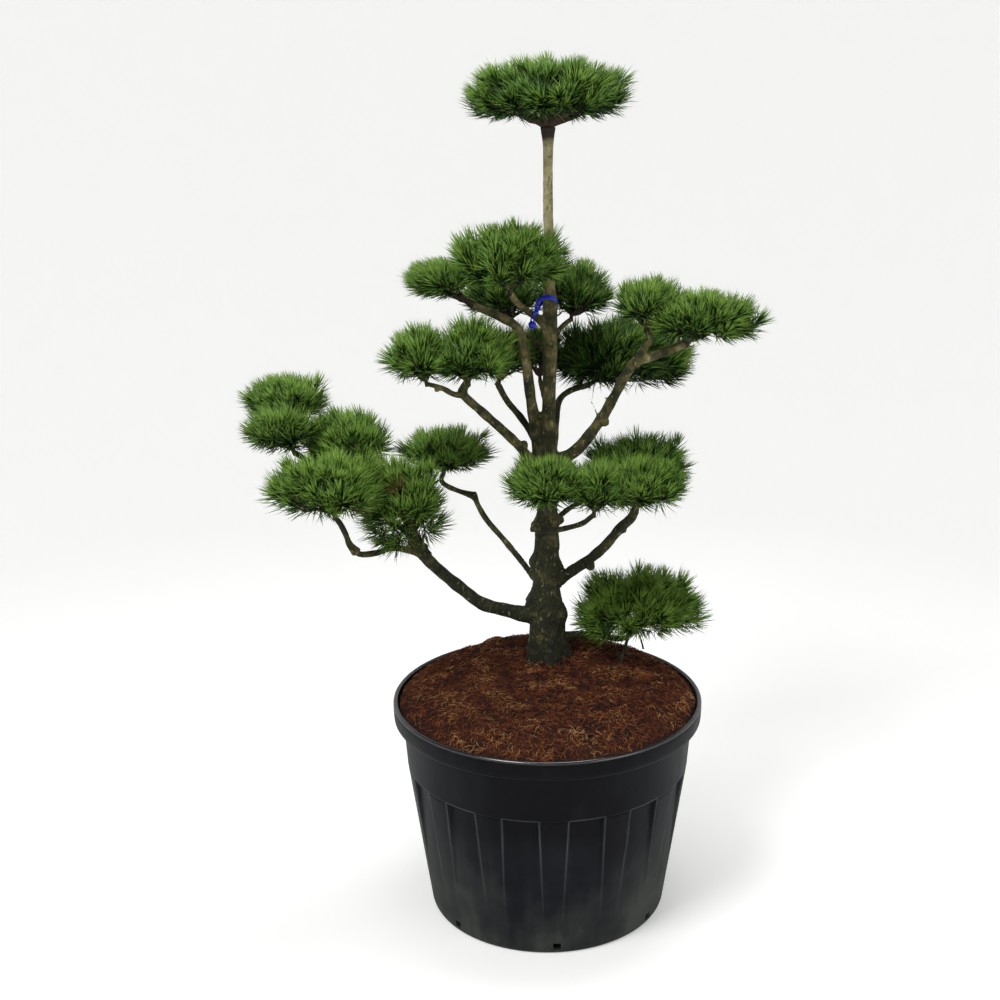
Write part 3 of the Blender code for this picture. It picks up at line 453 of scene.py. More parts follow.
def coir_dust():
    """Crumbled husk between the fibres: dark, matt and open, with grains a few millimetres wide."""
    material, tree, shader = start_material("coir_dust", "#3B2115", 0.95)
    place = node(tree, "TexCoord", {}).outputs["Object"]
    grains = node(tree, "TexNoise", {"Vector": place, "Scale": 210.0, "Detail": 6.0, "Roughness": 0.7})
    patches = node(tree, "TexNoise", {"Vector": place, "Scale": 22.0, "Detail": 3.0})
    mixed = node(tree, "Math", {0: patches, 1: 0.55, 2: grains}, operation="MULTIPLY_ADD")
    wire(tree, shader, {
        "Base Color": node(tree, "ValToRGB", {"Fac": mixed}, stops=(
            (0.58, "#0F0502"), (0.74, "#261006"), (0.86, "#43200E"), (0.98, "#66341A"))),
        "Normal": node(tree, "Bump", {"Height": grains, "Strength": 0.9, "Distance": 0.003})})
    return material


def coir_fibre(index, colour):
    """Husk fibre: tough, dry and matt, from red-brown to bleached tan."""
    return start_material(f"coir_fibre_{index}", colour, 0.8)[0]


bed_points, bed_faces = make_mulch_bed()
bed = add_piece("coir_bed", bed_points, bed_faces, [coir_dust()], ["root_ball"])
bed.data.shade_smooth()
fibre_points, fibre_faces, fibre_worn = lay_fibres()
fibre_materials = [coir_fibre(index, colour) for index, colour in enumerate(FIBRE_COLOURS)]
add_piece("coir_fibres", fibre_points, fibre_faces, fibre_materials, ["root_ball"], fibre_worn)

# Trunk and boughs: living wood under olive-brown bark, scaly and ridged low down with pruning burls,
# and smooth, yellowish and flecked on the leader above the tie. The boughs were pruned bare, and grow
# out of the trunk in one skin.
# Points (x, y, z, radius) up the middle of the trunk, from the mulch to the hub of the top pad
TRUNK_LINE = (
    (0.001, 0.100, 0.478, 0.039), (-0.001, 0.098, 0.519, 0.036), (-0.001, 0.095, 0.564, 0.034),
    (-0.002, 0.092, 0.609, 0.031), (-0.003, 0.090, 0.653, 0.027), (-0.002, 0.088, 0.697, 0.0250),
    (-0.001, 0.085, 0.740, 0.0250), (-0.001, 0.083, 0.783, 0.0215), (0.001, 0.080, 0.867, 0.0185),
    (0.001, 0.077, 0.950, 0.0163), (0.003, 0.075, 1.031, 0.0130), (0.005, 0.073, 1.130, 0.0142),
    (0.005, 0.070, 1.227, 0.0138), (0.004, 0.069, 1.250, 0.0110), (0.003, 0.068, 1.322, 0.0100),
    (0.001, 0.065, 1.415, 0.0094), (0.001, 0.062, 1.506, 0.0096), (0.001, 0.060, 1.548, 0.0145),
)
TRUNK_STEP = 0.0035
TRUNK_SIDES = 40
ROOT_LOBES = 5
ROOT_TURN = 0.6
ROOT_FLARE = 0.19
FLARE_HEIGHT = 0.055
KNOB_FALL = 2.2
# Burls and stubs on the trunk: (height, compass angle in degrees, bulge, reach)
KNOBS = (
    (0.606, 180, 0.013, 0.030), (0.693, 178, 0.011, 0.026), (0.681, 0, 0.010, 0.022),
    (0.583, -15, 0.010, 0.028), (0.776, 215, 0.016, 0.020), (0.783, 5, 0.008, 0.018),
    (0.640, 100, 0.009, 0.026), (0.730, 70, 0.008, 0.024),
)
BOUGH_STEP = 0.005
BOUGH_SIDES = 18
COLLAR = 0.75
COLLAR_RUN = 2.2
WHORL_SWELL = 0.07
WHORL_RUNS = (0.0083, 0.0271)
# Boughs: (radius at the base, radius at the tip, limb it grows from, points along its middle)
BOUGHS = {
    "second_stem": (0.0122, 0.0080, "trunk", (
        (-0.003, 0.082, 0.905), (-0.017, 0.080, 0.936), (-0.032, 0.073, 1.031), (-0.041, 0.062, 1.105),
        (-0.055, 0.050, 1.172), (-0.090, 0.033, 1.200), (-0.142, 0.018, 1.225))),
    "upper_left_bough": (0.0078, 0.0060, "trunk", (
        (0.003, 0.072, 1.165), (-0.012, 0.066, 1.187), (-0.037, 0.048, 1.208), (-0.058, 0.028, 1.228),
        (-0.070, 0.010, 1.249))),
    "upper_back_bough": (0.0058, 0.0050, "trunk", (
        (0.006, 0.075, 1.135), (0.012, 0.100, 1.150), (0.028, 0.135, 1.165), (0.047, 0.167, 1.176))),
    "upper_rear_bough": (0.0055, 0.0048, "trunk", (
        (0.003, 0.074, 1.120), (-0.015, 0.100, 1.134), (-0.045, 0.130, 1.150), (-0.070, 0.155, 1.166))),
    "mid_left_bough": (0.0102, 0.0082, "trunk", (
        (0.000, 0.082, 0.861), (-0.014, 0.077, 0.881), (-0.052, 0.057, 0.938), (-0.085, 0.033, 0.978),
        (-0.123, 0.010, 1.019), (-0.159, -0.014, 1.059), (-0.157, -0.030, 1.075),
        (-0.150, -0.046, 1.088))),
    "mid_left_side_branch": (0.0060, 0.0045, "mid_left_bough", (
        (-0.157, -0.020, 1.062), (-0.174, -0.048, 1.067), (-0.196, -0.067, 1.083),
        (-0.222, -0.080, 1.093))),
    "mid_left_inner_bough": (0.0082, 0.0062, "trunk", (
        (0.000, 0.085, 0.872), (-0.012, 0.108, 0.905), (-0.028, 0.119, 0.945), (-0.052, 0.117, 0.985),
        (-0.080, 0.108, 1.022), (-0.098, 0.100, 1.058))),
    "mid_back_bough": (0.0060, 0.0050, "trunk", (
        (0.003, 0.080, 0.985), (0.000, 0.112, 1.000), (-0.006, 0.150, 1.018), (-0.012, 0.190, 1.034),
        (-0.015, 0.208, 1.045))),
    "small_left_bough": (0.0068, 0.0058, "trunk", (
        (-0.008, 0.098, 0.632), (-0.032, 0.100, 0.662), (-0.060, 0.104, 0.698), (-0.090, 0.108, 0.735),
        (-0.123, 0.112, 0.774), (-0.142, 0.116, 0.807), (-0.148, 0.119, 0.827))),
    "small_left_bough_end": (0.0056, 0.0050, "small_left_bough", (
        (-0.147, 0.119, 0.823), (-0.173, 0.120, 0.831), (-0.200, 0.120, 0.842), (-0.215, 0.120, 0.855),
        (-0.210, 0.120, 0.871))),
    "low_left_bough": (0.0142, 0.0112, "trunk", (
        (-0.010, 0.097, 0.572), (-0.037, 0.088, 0.577), (-0.078, 0.072, 0.593), (-0.131, 0.053, 0.615),
        (-0.171, 0.035, 0.653), (-0.216, 0.017, 0.700), (-0.248, 0.000, 0.741),
        (-0.263, -0.009, 0.768))),
    "low_left_branch": (0.0068, 0.0060, "low_left_bough", (
        (-0.244, -0.001, 0.737), (-0.270, -0.030, 0.756), (-0.300, -0.045, 0.765),
        (-0.328, -0.057, 0.759), (-0.355, -0.070, 0.760), (-0.368, -0.077, 0.768))),
    "low_left_branch_end": (0.0060, 0.0055, "low_left_branch", (
        (-0.364, -0.075, 0.766), (-0.376, -0.082, 0.785), (-0.381, -0.085, 0.803),
        (-0.390, -0.089, 0.826), (-0.399, -0.096, 0.842))),
    "left_rear_bough": (0.0085, 0.0070, "low_left_bough", (
        (-0.240, 0.004, 0.732), (-0.258, 0.020, 0.765), (-0.286, 0.032, 0.808), (-0.318, 0.038, 0.855),
        (-0.348, 0.040, 0.890))),
    "far_left_bough": (0.0065, 0.0055, "left_rear_bough", (
        (-0.308, 0.036, 0.840), (-0.345, 0.018, 0.858), (-0.400, 0.006, 0.885), (-0.448, 0.000, 0.918),
        (-0.484, -0.012, 0.946))),
    "far_left_top_bough": (0.0052, 0.0045, "far_left_bough", (
        (-0.446, 0.001, 0.916), (-0.460, 0.020, 0.950), (-0.478, 0.028, 0.986))),
    "centre_front_bough": (0.0065, 0.0055, "trunk", (
        (0.000, 0.075, 0.800), (0.000, 0.045, 0.811), (0.000, 0.000, 0.822), (0.000, -0.046, 0.836),
        (0.000, -0.074, 0.850))),
    "centre_middle_bough": (0.0062, 0.0052, "trunk", (
        (0.000, 0.080, 0.762), (-0.004, 0.054, 0.769), (0.026, 0.013, 0.785), (0.066, -0.025, 0.808),
        (0.088, -0.060, 0.836))),
    "centre_right_bough": (0.0114, 0.0094, "trunk", (
        (0.005, 0.093, 0.635), (0.020, 0.090, 0.651), (0.055, 0.068, 0.684), (0.082, 0.047, 0.710),
        (0.113, 0.025, 0.746), (0.142, 0.003, 0.790), (0.162, -0.018, 0.817), (0.168, -0.034, 0.838))),
    "right_upper_bough": (0.0125, 0.0080, "trunk", (
        (0.004, 0.078, 0.885), (0.019, 0.078, 0.904), (0.061, 0.073, 0.934), (0.104, 0.066, 0.993),
        (0.126, 0.059, 1.034), (0.151, 0.051, 1.085), (0.168, 0.044, 1.110), (0.200, 0.040, 1.123),
        (0.235, 0.034, 1.137), (0.264, 0.031, 1.149))),
    "right_upper_side_branch": (0.0075, 0.0060, "right_upper_bough", (
        (0.166, 0.045, 1.106), (0.186, 0.037, 1.140), (0.197, 0.034, 1.158), (0.188, 0.035, 1.174))),
    "right_back_bough": (0.0078, 0.0060, "trunk", (
        (0.008, 0.083, 0.922), (0.014, 0.105, 0.950), (0.018, 0.130, 0.985), (0.024, 0.162, 1.012),
        (0.046, 0.190, 1.026), (0.085, 0.212, 1.034))),
    "right_low_back_bough": (0.0060, 0.0050, "trunk", (
        (0.005, 0.086, 0.765), (0.020, 0.108, 0.778), (0.045, 0.130, 0.794), (0.087, 0.150, 0.810),
        (0.130, 0.164, 0.816), (0.168, 0.170, 0.823))),
    "low_right_bough": (0.0078, 0.0060, "trunk", (
        (0.015, 0.100, 0.522), (0.040, 0.100, 0.528), (0.078, 0.100, 0.531), (0.115, 0.100, 0.527),
        (0.145, 0.102, 0.520), (0.164, 0.105, 0.522), (0.174, 0.108, 0.532))),
    "back_bough": (0.0065, 0.0055, "trunk", (
        (0.000, 0.090, 0.706), (0.000, 0.125, 0.722), (0.003, 0.180, 0.742), (0.006, 0.230, 0.757),
        (0.008, 0.268, 0.769))),
}
BURL_SIDES = 14
BURL_LEVELS = 9
BURL_CAP = 0.92
BURL_ROUGH = (0.62, 1.12)
# Pruning burls on the boughs: (place, radius)
BOUGH_BURLS = (
    ((-0.243, -0.003, 0.752), 0.011), ((-0.131, 0.053, 0.618), 0.010), ((0.086, 0.047, 0.699), 0.011),
    ((0.112, 0.062, 0.991), 0.011), ((-0.046, 0.053, 0.945), 0.010), ((-0.020, 0.076, 0.872), 0.013),
    ((-0.205, -0.066, 1.080), 0.006), ((0.148, 0.002, 0.789), 0.009), ((0.025, 0.075, 0.785), 0.010),
)
STUB_STEP = 0.004
STUB_SIDES = 8
STUB_BOW = 0.002
STUB_TAPER = 0.7
# Thin shoots and cut stubs left on the wood: (foot, tip, radius at the foot)
STUBS = (
    ((-0.010, 0.062, 0.772), (-0.034, 0.048, 0.774), 0.0085),
    ((-0.012, 0.062, 0.741), (-0.003, 0.045, 0.794), 0.0026),
    ((0.098, 0.067, 1.000), (0.079, 0.080, 1.038), 0.0021),
    ((0.120, 0.060, 1.022), (0.103, 0.058, 1.052), 0.0020),
    ((0.146, 0.060, 0.470), (0.174, 0.085, 0.572), 0.0046),
    ((0.198, 0.078, 0.506), (0.182, 0.090, 0.550), 0.0030),
    ((0.152, 0.064, 0.488), (0.124, 0.086, 0.536), 0.0026),
)
BARK_GRAIN = 0.0026
# Old bark: where on the trunk it ends and how far out it reaches, with the distances it fades over
OLD_TOP_Z = 0.95
OLD_FADE = 0.30
OLD_REACH = 0.045
OLD_REACH_FADE = 0.030
# Relief, as how many to a metre across and up the trunk, and its height on young bark and more on old
SCALES = (95, 60)
SCALE_HEIGHT = (0.0003, 0.0009)
WRINKLES = (300, 190)
WRINKLE_HEIGHT = (0.00022, 0.0003)
PLATES = (88, 46)
FISSURE_DEPTH = 0.0020
FISSURE_WIDTH = 0.16
NECK_Z = 1.518
NECK_FADE = 0.011
NECK_RAGGED = 0.030


def smooth_line(points, step):
    """A Catmull-Rom curve through points of any number of values, sampled about every step metres."""
    points = np.array(points, float)
    padded = np.concatenate([2 * points[:1] - points[1:2], points, 2 * points[-1:] - points[-2:-1]])
    made = []
    for index in range(len(points) - 1):
        a, b, c, d = padded[index:index + 4]
        count = max(int(np.linalg.norm((c - b)[:3]) / step), 2)
        for t in np.arange(count) / count:
            made.append(0.5 * (2 * b + (c - a) * t + (2 * a - 5 * b + 4 * c - d) * t ** 2
                               + (3 * b - a - 3 * c + d) * t ** 3))
    made.append(points[-1])
    return np.array(made)


def tube(line, radii, sides):
    """A closed tube whose rings follow the line without twisting. radii holds one value for each ring."""
    along = np.gradient(line, axis=0)
    along /= np.linalg.norm(along, axis=1, keepdims=True)
    turns = 2 * math.pi * np.arange(sides) / sides
    side = np.array(Vector(along[0]).orthogonal().normalized())
    rings = []
    for centre, way, radius in zip(line, along, radii):
        side = side - way * side.dot(way)
        side /= np.linalg.norm(side)
        other = np.cross(way, side)
        rings.append(centre + (np.outer(np.cos(turns), side) + np.outer(np.sin(turns), other)) * radius)
    ends = np.array([line[0], line[-1]])
    return np.concatenate(rings + [ends]), turned_faces(len(line), sides)


def trunk_tube():
    line = smooth_line(TRUNK_LINE, TRUNK_STEP)
    turns = 2 * math.pi * np.arange(TRUNK_SIDES) / TRUNK_SIDES
    foot_z = line[0][2]
    rings = []
    for x, y, z, radius in line:
        flare = math.exp(-(z - foot_z) / FLARE_HEIGHT)
        reach = radius * (1 + ROOT_FLARE * flare * (1 + np.cos(ROOT_LOBES * turns + ROOT_TURN)))
        for height, compass, bulge, spread in KNOBS:
            aside = (turns - math.radians(compass) + math.pi) % (2 * math.pi) - math.pi
            distance = np.hypot(z - height, aside * reach)
            reach = reach + bulge * np.exp(-((distance / spread) ** 2) * KNOB_FALL)
        rings.append(ring_at(z, reach, turns, x, y))
    ends = np.array([line[0][:3], line[-1][:3]])
    return np.concatenate(rings + [ends]), turned_faces(len(line), TRUNK_SIDES)


def bough_tube(name):
    """A bough with a collar where it leaves its parent, and slight swellings at its old whorls."""
    base, tip, _, points = BOUGHS[name]
    line = smooth_line(points, BOUGH_STEP)
    share = np.linspace(0, 1, len(line))
    run = np.concatenate([[0], np.cumsum(np.linalg.norm(np.diff(line, axis=0), axis=1))])
    radii = base + (tip - base) * share
    radii = radii * (1 + COLLAR * np.exp(-run / (COLLAR_RUN * base)))
    radii *= 1 + WHORL_SWELL * np.sin(run / WHORL_RUNS[0] + len(name)) * np.sin(run / WHORL_RUNS[1])
    return tube(line, radii, BOUGH_SIDES)


def burl(place, radius, chance):
    """A rough lump of callus."""
    turns = 2 * math.pi * np.arange(BURL_SIDES) / BURL_SIDES
    rings = []
    for lift in np.linspace(-BURL_CAP, BURL_CAP, BURL_LEVELS):
        reach = radius * math.sqrt(1 - lift * lift) * chance.uniform(*BURL_ROUGH, BURL_SIDES)
        rings.append(ring_at(lift * radius, reach, turns))
    ends = np.array([(0, 0, -radius), (0, 0, radius)])
    return np.concatenate(rings + [ends]) + place, turned_faces(BURL_LEVELS, BURL_SIDES)


def joined(parts):
    """One array of points and one of faces from several."""
    shifts = np.cumsum([0] + [len(points) for points, _ in parts[:-1]])
    faces = [faces + shift for (_, faces), shift in zip(parts, shifts)]
    return np.concatenate([points for points, _ in parts]), np.concatenate(faces)


def limb_parts():
    chance = np.random.default_rng(3)
    parts = [trunk_tube()] + [bough_tube(name) for name in BOUGHS]
    parts += [burl(place, radius, chance) for place, radius in BOUGH_BURLS]
    for foot, tip, radius in STUBS:
        bend = tuple((np.array(foot) + tip) / 2 + (STUB_BOW, 0, 0))
        line = smooth_line((foot, bend, tip), STUB_STEP)
        parts.append(tube(line, np.linspace(radius, radius * STUB_TAPER, len(line)), STUB_SIDES))
    return parts


def grow_together(piece, grain):
    """One skin over overlapping limbs: voxels of the given size, then a little smoothing of the seams."""
    step = piece.modifiers.new("one_skin", "REMESH")
    step.mode = "VOXEL"
    step.voxel_size = grain
    step = piece.modifiers.new("settle", "SMOOTH")
    step.factor = 0.4
    step.iterations = 2
    bake_steps(piece)


def raise_bark(piece):
    """Scales and fissures on the old wood of the trunk, fading to fine wrinkles on boughs and leader."""
    mesh = piece.data
    points, ways = np.zeros((2, len(mesh.vertices) * 3), np.float32)
    mesh.vertices.foreach_get("co", points)
    mesh.vertices.foreach_get("normal", ways)
    points = points.reshape(-1, 3)
    middle_x, middle_y = TRUNK_LINE[3][:2]
    lift = np.zeros(len(points))
    for index, (x, y, z) in enumerate(points):
        out = math.hypot(x - middle_x, y - middle_y)
        old = max(0.0, min(1.0, (OLD_TOP_Z - z) / OLD_FADE))
        old *= max(0.0, 1 - max(out - OLD_REACH, 0) / OLD_REACH_FADE)
        for (across, up), (young, more) in ((SCALES, SCALE_HEIGHT), (WRINKLES, WRINKLE_HEIGHT)):
            lift[index] += (young + more * old) * noise.noise(Vector((x * across, y * across, z * up)))
        if old > 0.02:
            near = noise.voronoi(Vector((x * PLATES[0], y * PLATES[0], z * PLATES[1])))[0]
            open_by = max(0.0, FISSURE_WIDTH - (near[1] - near[0])) / FISSURE_WIDTH
            lift[index] -= FISSURE_DEPTH * old * open_by
    points += ways.reshape(-1, 3) * lift[:, None]
    mesh.vertices.foreach_set("co", points.ravel())
    mesh.update()


def pine_bark():
    """Young pine bark: matt and olive, darker low down as older bark and as painted shade of the pads
    above, drying to a yellowish tan with flecks above, and dark again at the neck under the top pad."""
    material, tree, shader = start_material("pine_bark", "#5A5538", 0.86)
    place = node(tree, "TexCoord", {}).outputs["Object"]
    height = node(tree, "SeparateXYZ", {"Vector": place}).outputs["Z"]
    # Blotches of 30 mm; drawn out upwards, flecks and scars of 7 mm, plates of 8 mm and wrinkles of 2 mm
    blotches = node(tree, "TexNoise", {"Vector": place, "Scale": 34.0, "Detail": 5.0, "Roughness": 0.6})
    drawn_out = node(tree, "Mapping", {"Vector": place, "Scale": (1.0, 1.0, 0.55)})
    flecks = node(tree, "TexNoise", {"Vector": drawn_out, "Scale": 150.0, "Detail": 2.0})
    plates = node(tree, "TexVoronoi", {"Vector": drawn_out, "Scale": 120.0}, feature="DISTANCE_TO_EDGE")
    wrinkles = node(tree, "TexNoise", {
        "Vector": drawn_out, "Scale": 420.0, "Detail": 5.0, "Roughness": 0.7})
    # Darker low down on the trunk: partly older bark, partly painted shade of the pads above
    age_and_shade = node(tree, "MapRange", {
        "Value": height, "From Min": 0.5, "From Max": 1.20, "To Min": -0.14, "To Max": 0.07})
    leader = node(tree, "MapRange", {"Value": height, "From Min": 1.22, "From Max": 1.32, "To Max": 0.26})
    tone = node(tree, "Math", {0: blotches, 1: age_and_shade}, operation="ADD")
    tone = node(tree, "Math", {0: tone, 1: leader}, operation="ADD")
    fleck = node(tree, "MapRange", {"Value": flecks, "From Min": 0.62, "From Max": 0.72, "To Max": 0.45})
    scar = node(tree, "MapRange", {"Value": flecks, "From Min": 0.46, "From Max": 0.35, "To Max": 0.65})
    ragged = node(tree, "Math", {0: blotches, 1: NECK_RAGGED, 2: height}, operation="MULTIPLY_ADD")
    neck_z = NECK_Z + NECK_RAGGED / 2
    neck = node(tree, "MapRange", {"Value": ragged, "From Min": neck_z, "From Max": neck_z + NECK_FADE})
    colour = node(tree, "ValToRGB", {"Fac": tone}, stops=(
        (0.24, "#121508"), (0.46, "#2C2F16"), (0.64, "#675F38"), (0.86, "#A29B73"), (1.0, "#BBB38F")))
    for share, paint in ((fleck, "#AFA878"), (scar, "#37331C"), (neck, "#30241A")):
        colour = node(tree, "Mix", {0: share, 6: colour, 7: srgb(paint)}, data_type="RGBA")
    cracks = node(tree, "ValToRGB", {"Fac": plates}, stops=((0.0, "#6A6A6A"), (0.12, "#FFFFFF")))
    old = node(tree, "MapRange", {
        "Value": height, "From Min": 0.62, "From Max": 0.95, "To Min": 0.9, "To Max": 0.0})
    rough = node(tree, "Math", {0: plates, 1: 1.6, 2: wrinkles}, operation="MULTIPLY_ADD")
    wire(tree, shader, {
        "Base Color": node(
            tree, "Mix", {0: old, 6: colour, 7: cracks}, data_type="RGBA", blend_type="MULTIPLY"),
        "Normal": node(tree, "Bump", {"Height": rough, "Strength": 0.7, "Distance": 0.0014})})
    return material


bark_points, bark_faces = joined(limb_parts())
bark = add_piece("bark", bark_points, bark_faces, [pine_bark()], ["trunk", *BOUGHS])
grow_together(bark, BARK_GRAIN)
raise_bark(bark)
bark.data.shade_smooth()

# Plant tie: a strip of blue polythene wound once round the trunk where the leader was trained on, and
# knotted in front, with its ends left hanging beside the trunk.
TIE_MIDDLE = (0.004, 0.069, 1.222)
TIE_WIDTH = 0.0085
TIE_THICK = 0.0007
TIE_STEP = 0.0015
TIE_LOOP = (
    (0.0190, 0.0700, 1.2250), (0.0160, 0.0570, 1.2290), (0.0060, 0.0510, 1.2345),
    (-0.0060, 0.0500, 1.2345), (-0.0165, 0.0480, 1.2290), (-0.0215, 0.0440, 1.2180),
    (-0.0200, 0.0430, 1.2080), (-0.0165, 0.0570, 1.2130), (-0.0110, 0.0800, 1.2200),
    (0.0040, 0.0890, 1.2220), (0.0160, 0.0830, 1.2230), (0.0190, 0.0700, 1.2250),
)
TAIL_STEP = 0.0012
TAIL_WIDTH = TIE_WIDTH * 0.8
TAIL_TWIST = (0.3, 2.2)
TIE_TAILS = (
    ((-0.0205, 0.0435, 1.2120), (-0.0250, 0.0400, 1.2030), (-0.0255, 0.0380, 1.1950),
     (-0.0275, 0.0365, 1.1880)),
    ((-0.0205, 0.0430, 1.2130), (-0.0230, 0.0365, 1.2060), (-0.0300, 0.0350, 1.2000),
     (-0.0310, 0.0370, 1.1900)),
)
KNOT_PLACE = (-0.0290, 0.0370, 1.1840)
KNOT_REACH = 0.0068
KNOT_WIDTH = 0.0062
KNOT_STEPS = 90
KNOT_WAVE = 0.35
# Turns of the knot: (angle round the upright, height as a share of its width)
KNOT_TURNS = ((0.3, 1.0), (1.5, 0.8), (2.5, 0.9))
# Corners of the strip's section, as shares of its width and of its thickness, with its edges turned in
STRIP_CORNERS = ((-0.5, -0.5), (-0.2, -0.65), (0.2, -0.65), (0.5, -0.5),
                 (0.5, 0.5), (0.2, 0.35), (-0.2, 0.35), (-0.5, 0.5))


def ribbon(line, width, thick, out):
    """A closed flat strip along a line. out gives the way its face looks at each of the line's points."""
    along = np.gradient(line, axis=0)
    along /= np.linalg.norm(along, axis=1, keepdims=True)
    face = out - along * (out * along).sum(1)[:, None]
    face /= np.linalg.norm(face, axis=1, keepdims=True)
    across = np.cross(along, face)
    rings = np.stack([across * (width * a) + face * (thick * b) + line for a, b in STRIP_CORNERS], 1)
    ends = np.array([line[0], line[-1]])
    return np.concatenate([rings.reshape(-1, 3), ends]), turned_faces(len(line), len(STRIP_CORNERS))


def tie_parts():
    loop = smooth_line(TIE_LOOP, TIE_STEP)
    parts = [ribbon(loop, TIE_WIDTH, TIE_THICK, loop - TIE_MIDDLE)]
    for tail in TIE_TAILS:
        line = smooth_line(tail, TAIL_STEP)
        twist = np.linspace(*TAIL_TWIST, len(line))
        out = np.stack([np.sin(twist), -np.cos(twist), np.zeros(len(line))], 1)
        parts.append(ribbon(line, TAIL_WIDTH, TIE_THICK, out))
    turns = np.linspace(0, 2 * math.pi, KNOT_STEPS)[:-1]
    for tilt, squash in KNOT_TURNS:
        x, y = np.cos(turns) * KNOT_REACH, KNOT_WAVE * np.sin(2 * turns) * KNOT_REACH
        turned = np.stack([
            x * math.cos(tilt) - y * math.sin(tilt),
            x * math.sin(tilt) + y * math.cos(tilt),
            np.sin(turns) * squash * KNOT_REACH], 1)
        parts.append(ribbon(turned + KNOT_PLACE, KNOT_WIDTH, TIE_THICK, turned))
    return parts


def blue_polythene():
    """Extruded polythene strip, dyed blue: glossy, and creased every few millimetres."""
    material, tree, shader = start_material("polythene_blue", "#1E2BD0", 0.30, ior=1.51)
    place = node(tree, "TexCoord", {}).outputs["Object"]
    creases = node(tree, "TexNoise", {"Vector": place, "Scale": 260.0, "Detail": 3.0, "Distortion": 0.8})
    wire(tree, shader, {
        "Base Color": node(tree, "ValToRGB", {"Fac": creases}, stops=(
            (0.35, "#141C9E"), (0.62, "#2437E0"))),
        "Normal": node(tree, "Bump", {"Height": creases, "Strength": 0.6, "Distance": 0.0010})})
    return material


tie_points, tie_faces = joined(tie_parts())
tie = add_piece("plant_tie", tie_points, tie_faces, [blue_polythene()], ["tie"])
tie.data.shade_smooth()

# Pads of foliage: each bough's tip opens into a funnel of brown twigs, which fork again and end in dozens
# of upturned shoots. Paired needles, 35 to 50 mm long, stand out of the last few centimetres of each
# shoot; shears have kept the pad's outline, and it is dark and nearly bare inside and underneath, where
# the needles' colours are painted darker as shade.
# Pads: (limb that carries it, middle of its rim, half widths in x and y, height above, depth below)
MASSES = {
    "top_pad": ("trunk", (-0.001, 0.060, 1.600), 0.155, 0.149, 0.078, 0.056),
    "upper_left_pad": ("upper_left_bough", (-0.073, -0.030, 1.308), 0.118, 0.105, 0.080, 0.057),
    "upper_left_outer_pad": ("second_stem", (-0.204, -0.010, 1.271), 0.073, 0.078, 0.051, 0.034),
    "upper_back_pad": ("upper_back_bough", (0.054, 0.184, 1.222), 0.087, 0.082, 0.074, 0.064),
    "upper_rear_pad": ("upper_rear_bough", (-0.091, 0.173, 1.219), 0.092, 0.081, 0.068, 0.058),
    "right_upper_inner_pad": (
        "right_upper_side_branch", (0.195, 0.038, 1.222), 0.080, 0.073, 0.059, 0.042),
    "right_upper_pad": ("right_upper_bough", (0.295, 0.030, 1.193), 0.117, 0.108, 0.063, 0.052),
    "right_back_pad": ("right_back_bough", (0.156, 0.237, 1.077), 0.159, 0.121, 0.105, 0.078),
    "mid_left_outer_pad": ("mid_left_side_branch", (-0.235, -0.092, 1.137), 0.071, 0.082, 0.075, 0.055),
    "mid_left_pad": ("mid_left_bough", (-0.141, -0.072, 1.137), 0.086, 0.092, 0.080, 0.055),
    "mid_left_inner_pad": ("mid_left_inner_bough", (-0.076, 0.109, 1.109), 0.058, 0.069, 0.072, 0.040),
    "small_left_pad": ("small_left_bough_end", (-0.203, 0.120, 0.909), 0.099, 0.086, 0.061, 0.036),
    "far_left_top_pad": ("far_left_top_bough", (-0.507, 0.032, 1.035), 0.089, 0.086, 0.064, 0.042),
    "far_left_pad": ("far_left_bough", (-0.504, -0.042, 0.994), 0.080, 0.084, 0.060, 0.048),
    "left_front_pad": ("low_left_branch_end", (-0.408, -0.120, 0.899), 0.121, 0.104, 0.082, 0.060),
    "left_middle_pad": ("left_rear_bough", (-0.394, 0.042, 0.953), 0.097, 0.100, 0.076, 0.056),
    "left_inner_pad": ("low_left_bough", (-0.281, -0.048, 0.858), 0.099, 0.092, 0.104, 0.085),
    "centre_front_pad": ("centre_front_bough", (-0.001, -0.100, 0.902), 0.089, 0.088, 0.068, 0.044),
    "centre_middle_pad": ("centre_middle_bough", (0.094, -0.085, 0.892), 0.072, 0.078, 0.068, 0.055),
    "centre_right_pad": ("centre_right_bough", (0.181, -0.050, 0.889), 0.096, 0.096, 0.070, 0.054),
    "right_low_back_pad": ("right_low_back_bough", (0.183, 0.170, 0.869), 0.117, 0.094, 0.078, 0.046),
    "low_right_pad": ("low_right_bough", (0.193, 0.112, 0.581), 0.141, 0.113, 0.093, 0.065),
    "mid_back_pad": ("mid_back_bough", (-0.020, 0.225, 1.095), 0.062, 0.070, 0.066, 0.042),
    "back_pad": ("back_bough", (0.010, 0.300, 0.816), 0.074, 0.070, 0.050, 0.038),
}
GOLDEN_ANGLE = math.pi * (3 - math.sqrt(5))
# Stem from the bough's tip to the hub, where it opens into twigs: a share of the way to the pad's middle
HUB_SHARE = 0.20
TOP_HUB_SHARE = 0.06
STEM_STEP = 0.002
STEM_SUNK = 0.004
STEM_BEYOND = 0.25
STEM_TAPER = 0.55
STEM_SIDES = 12
# Open funnel under the pad, free of shoots and needles apart from the few that hang
FUNNEL_RIM = 0.62
FUNNEL_CURVE = 0.7
HANGING = 0.008
HANGING_SHARE = 0.16
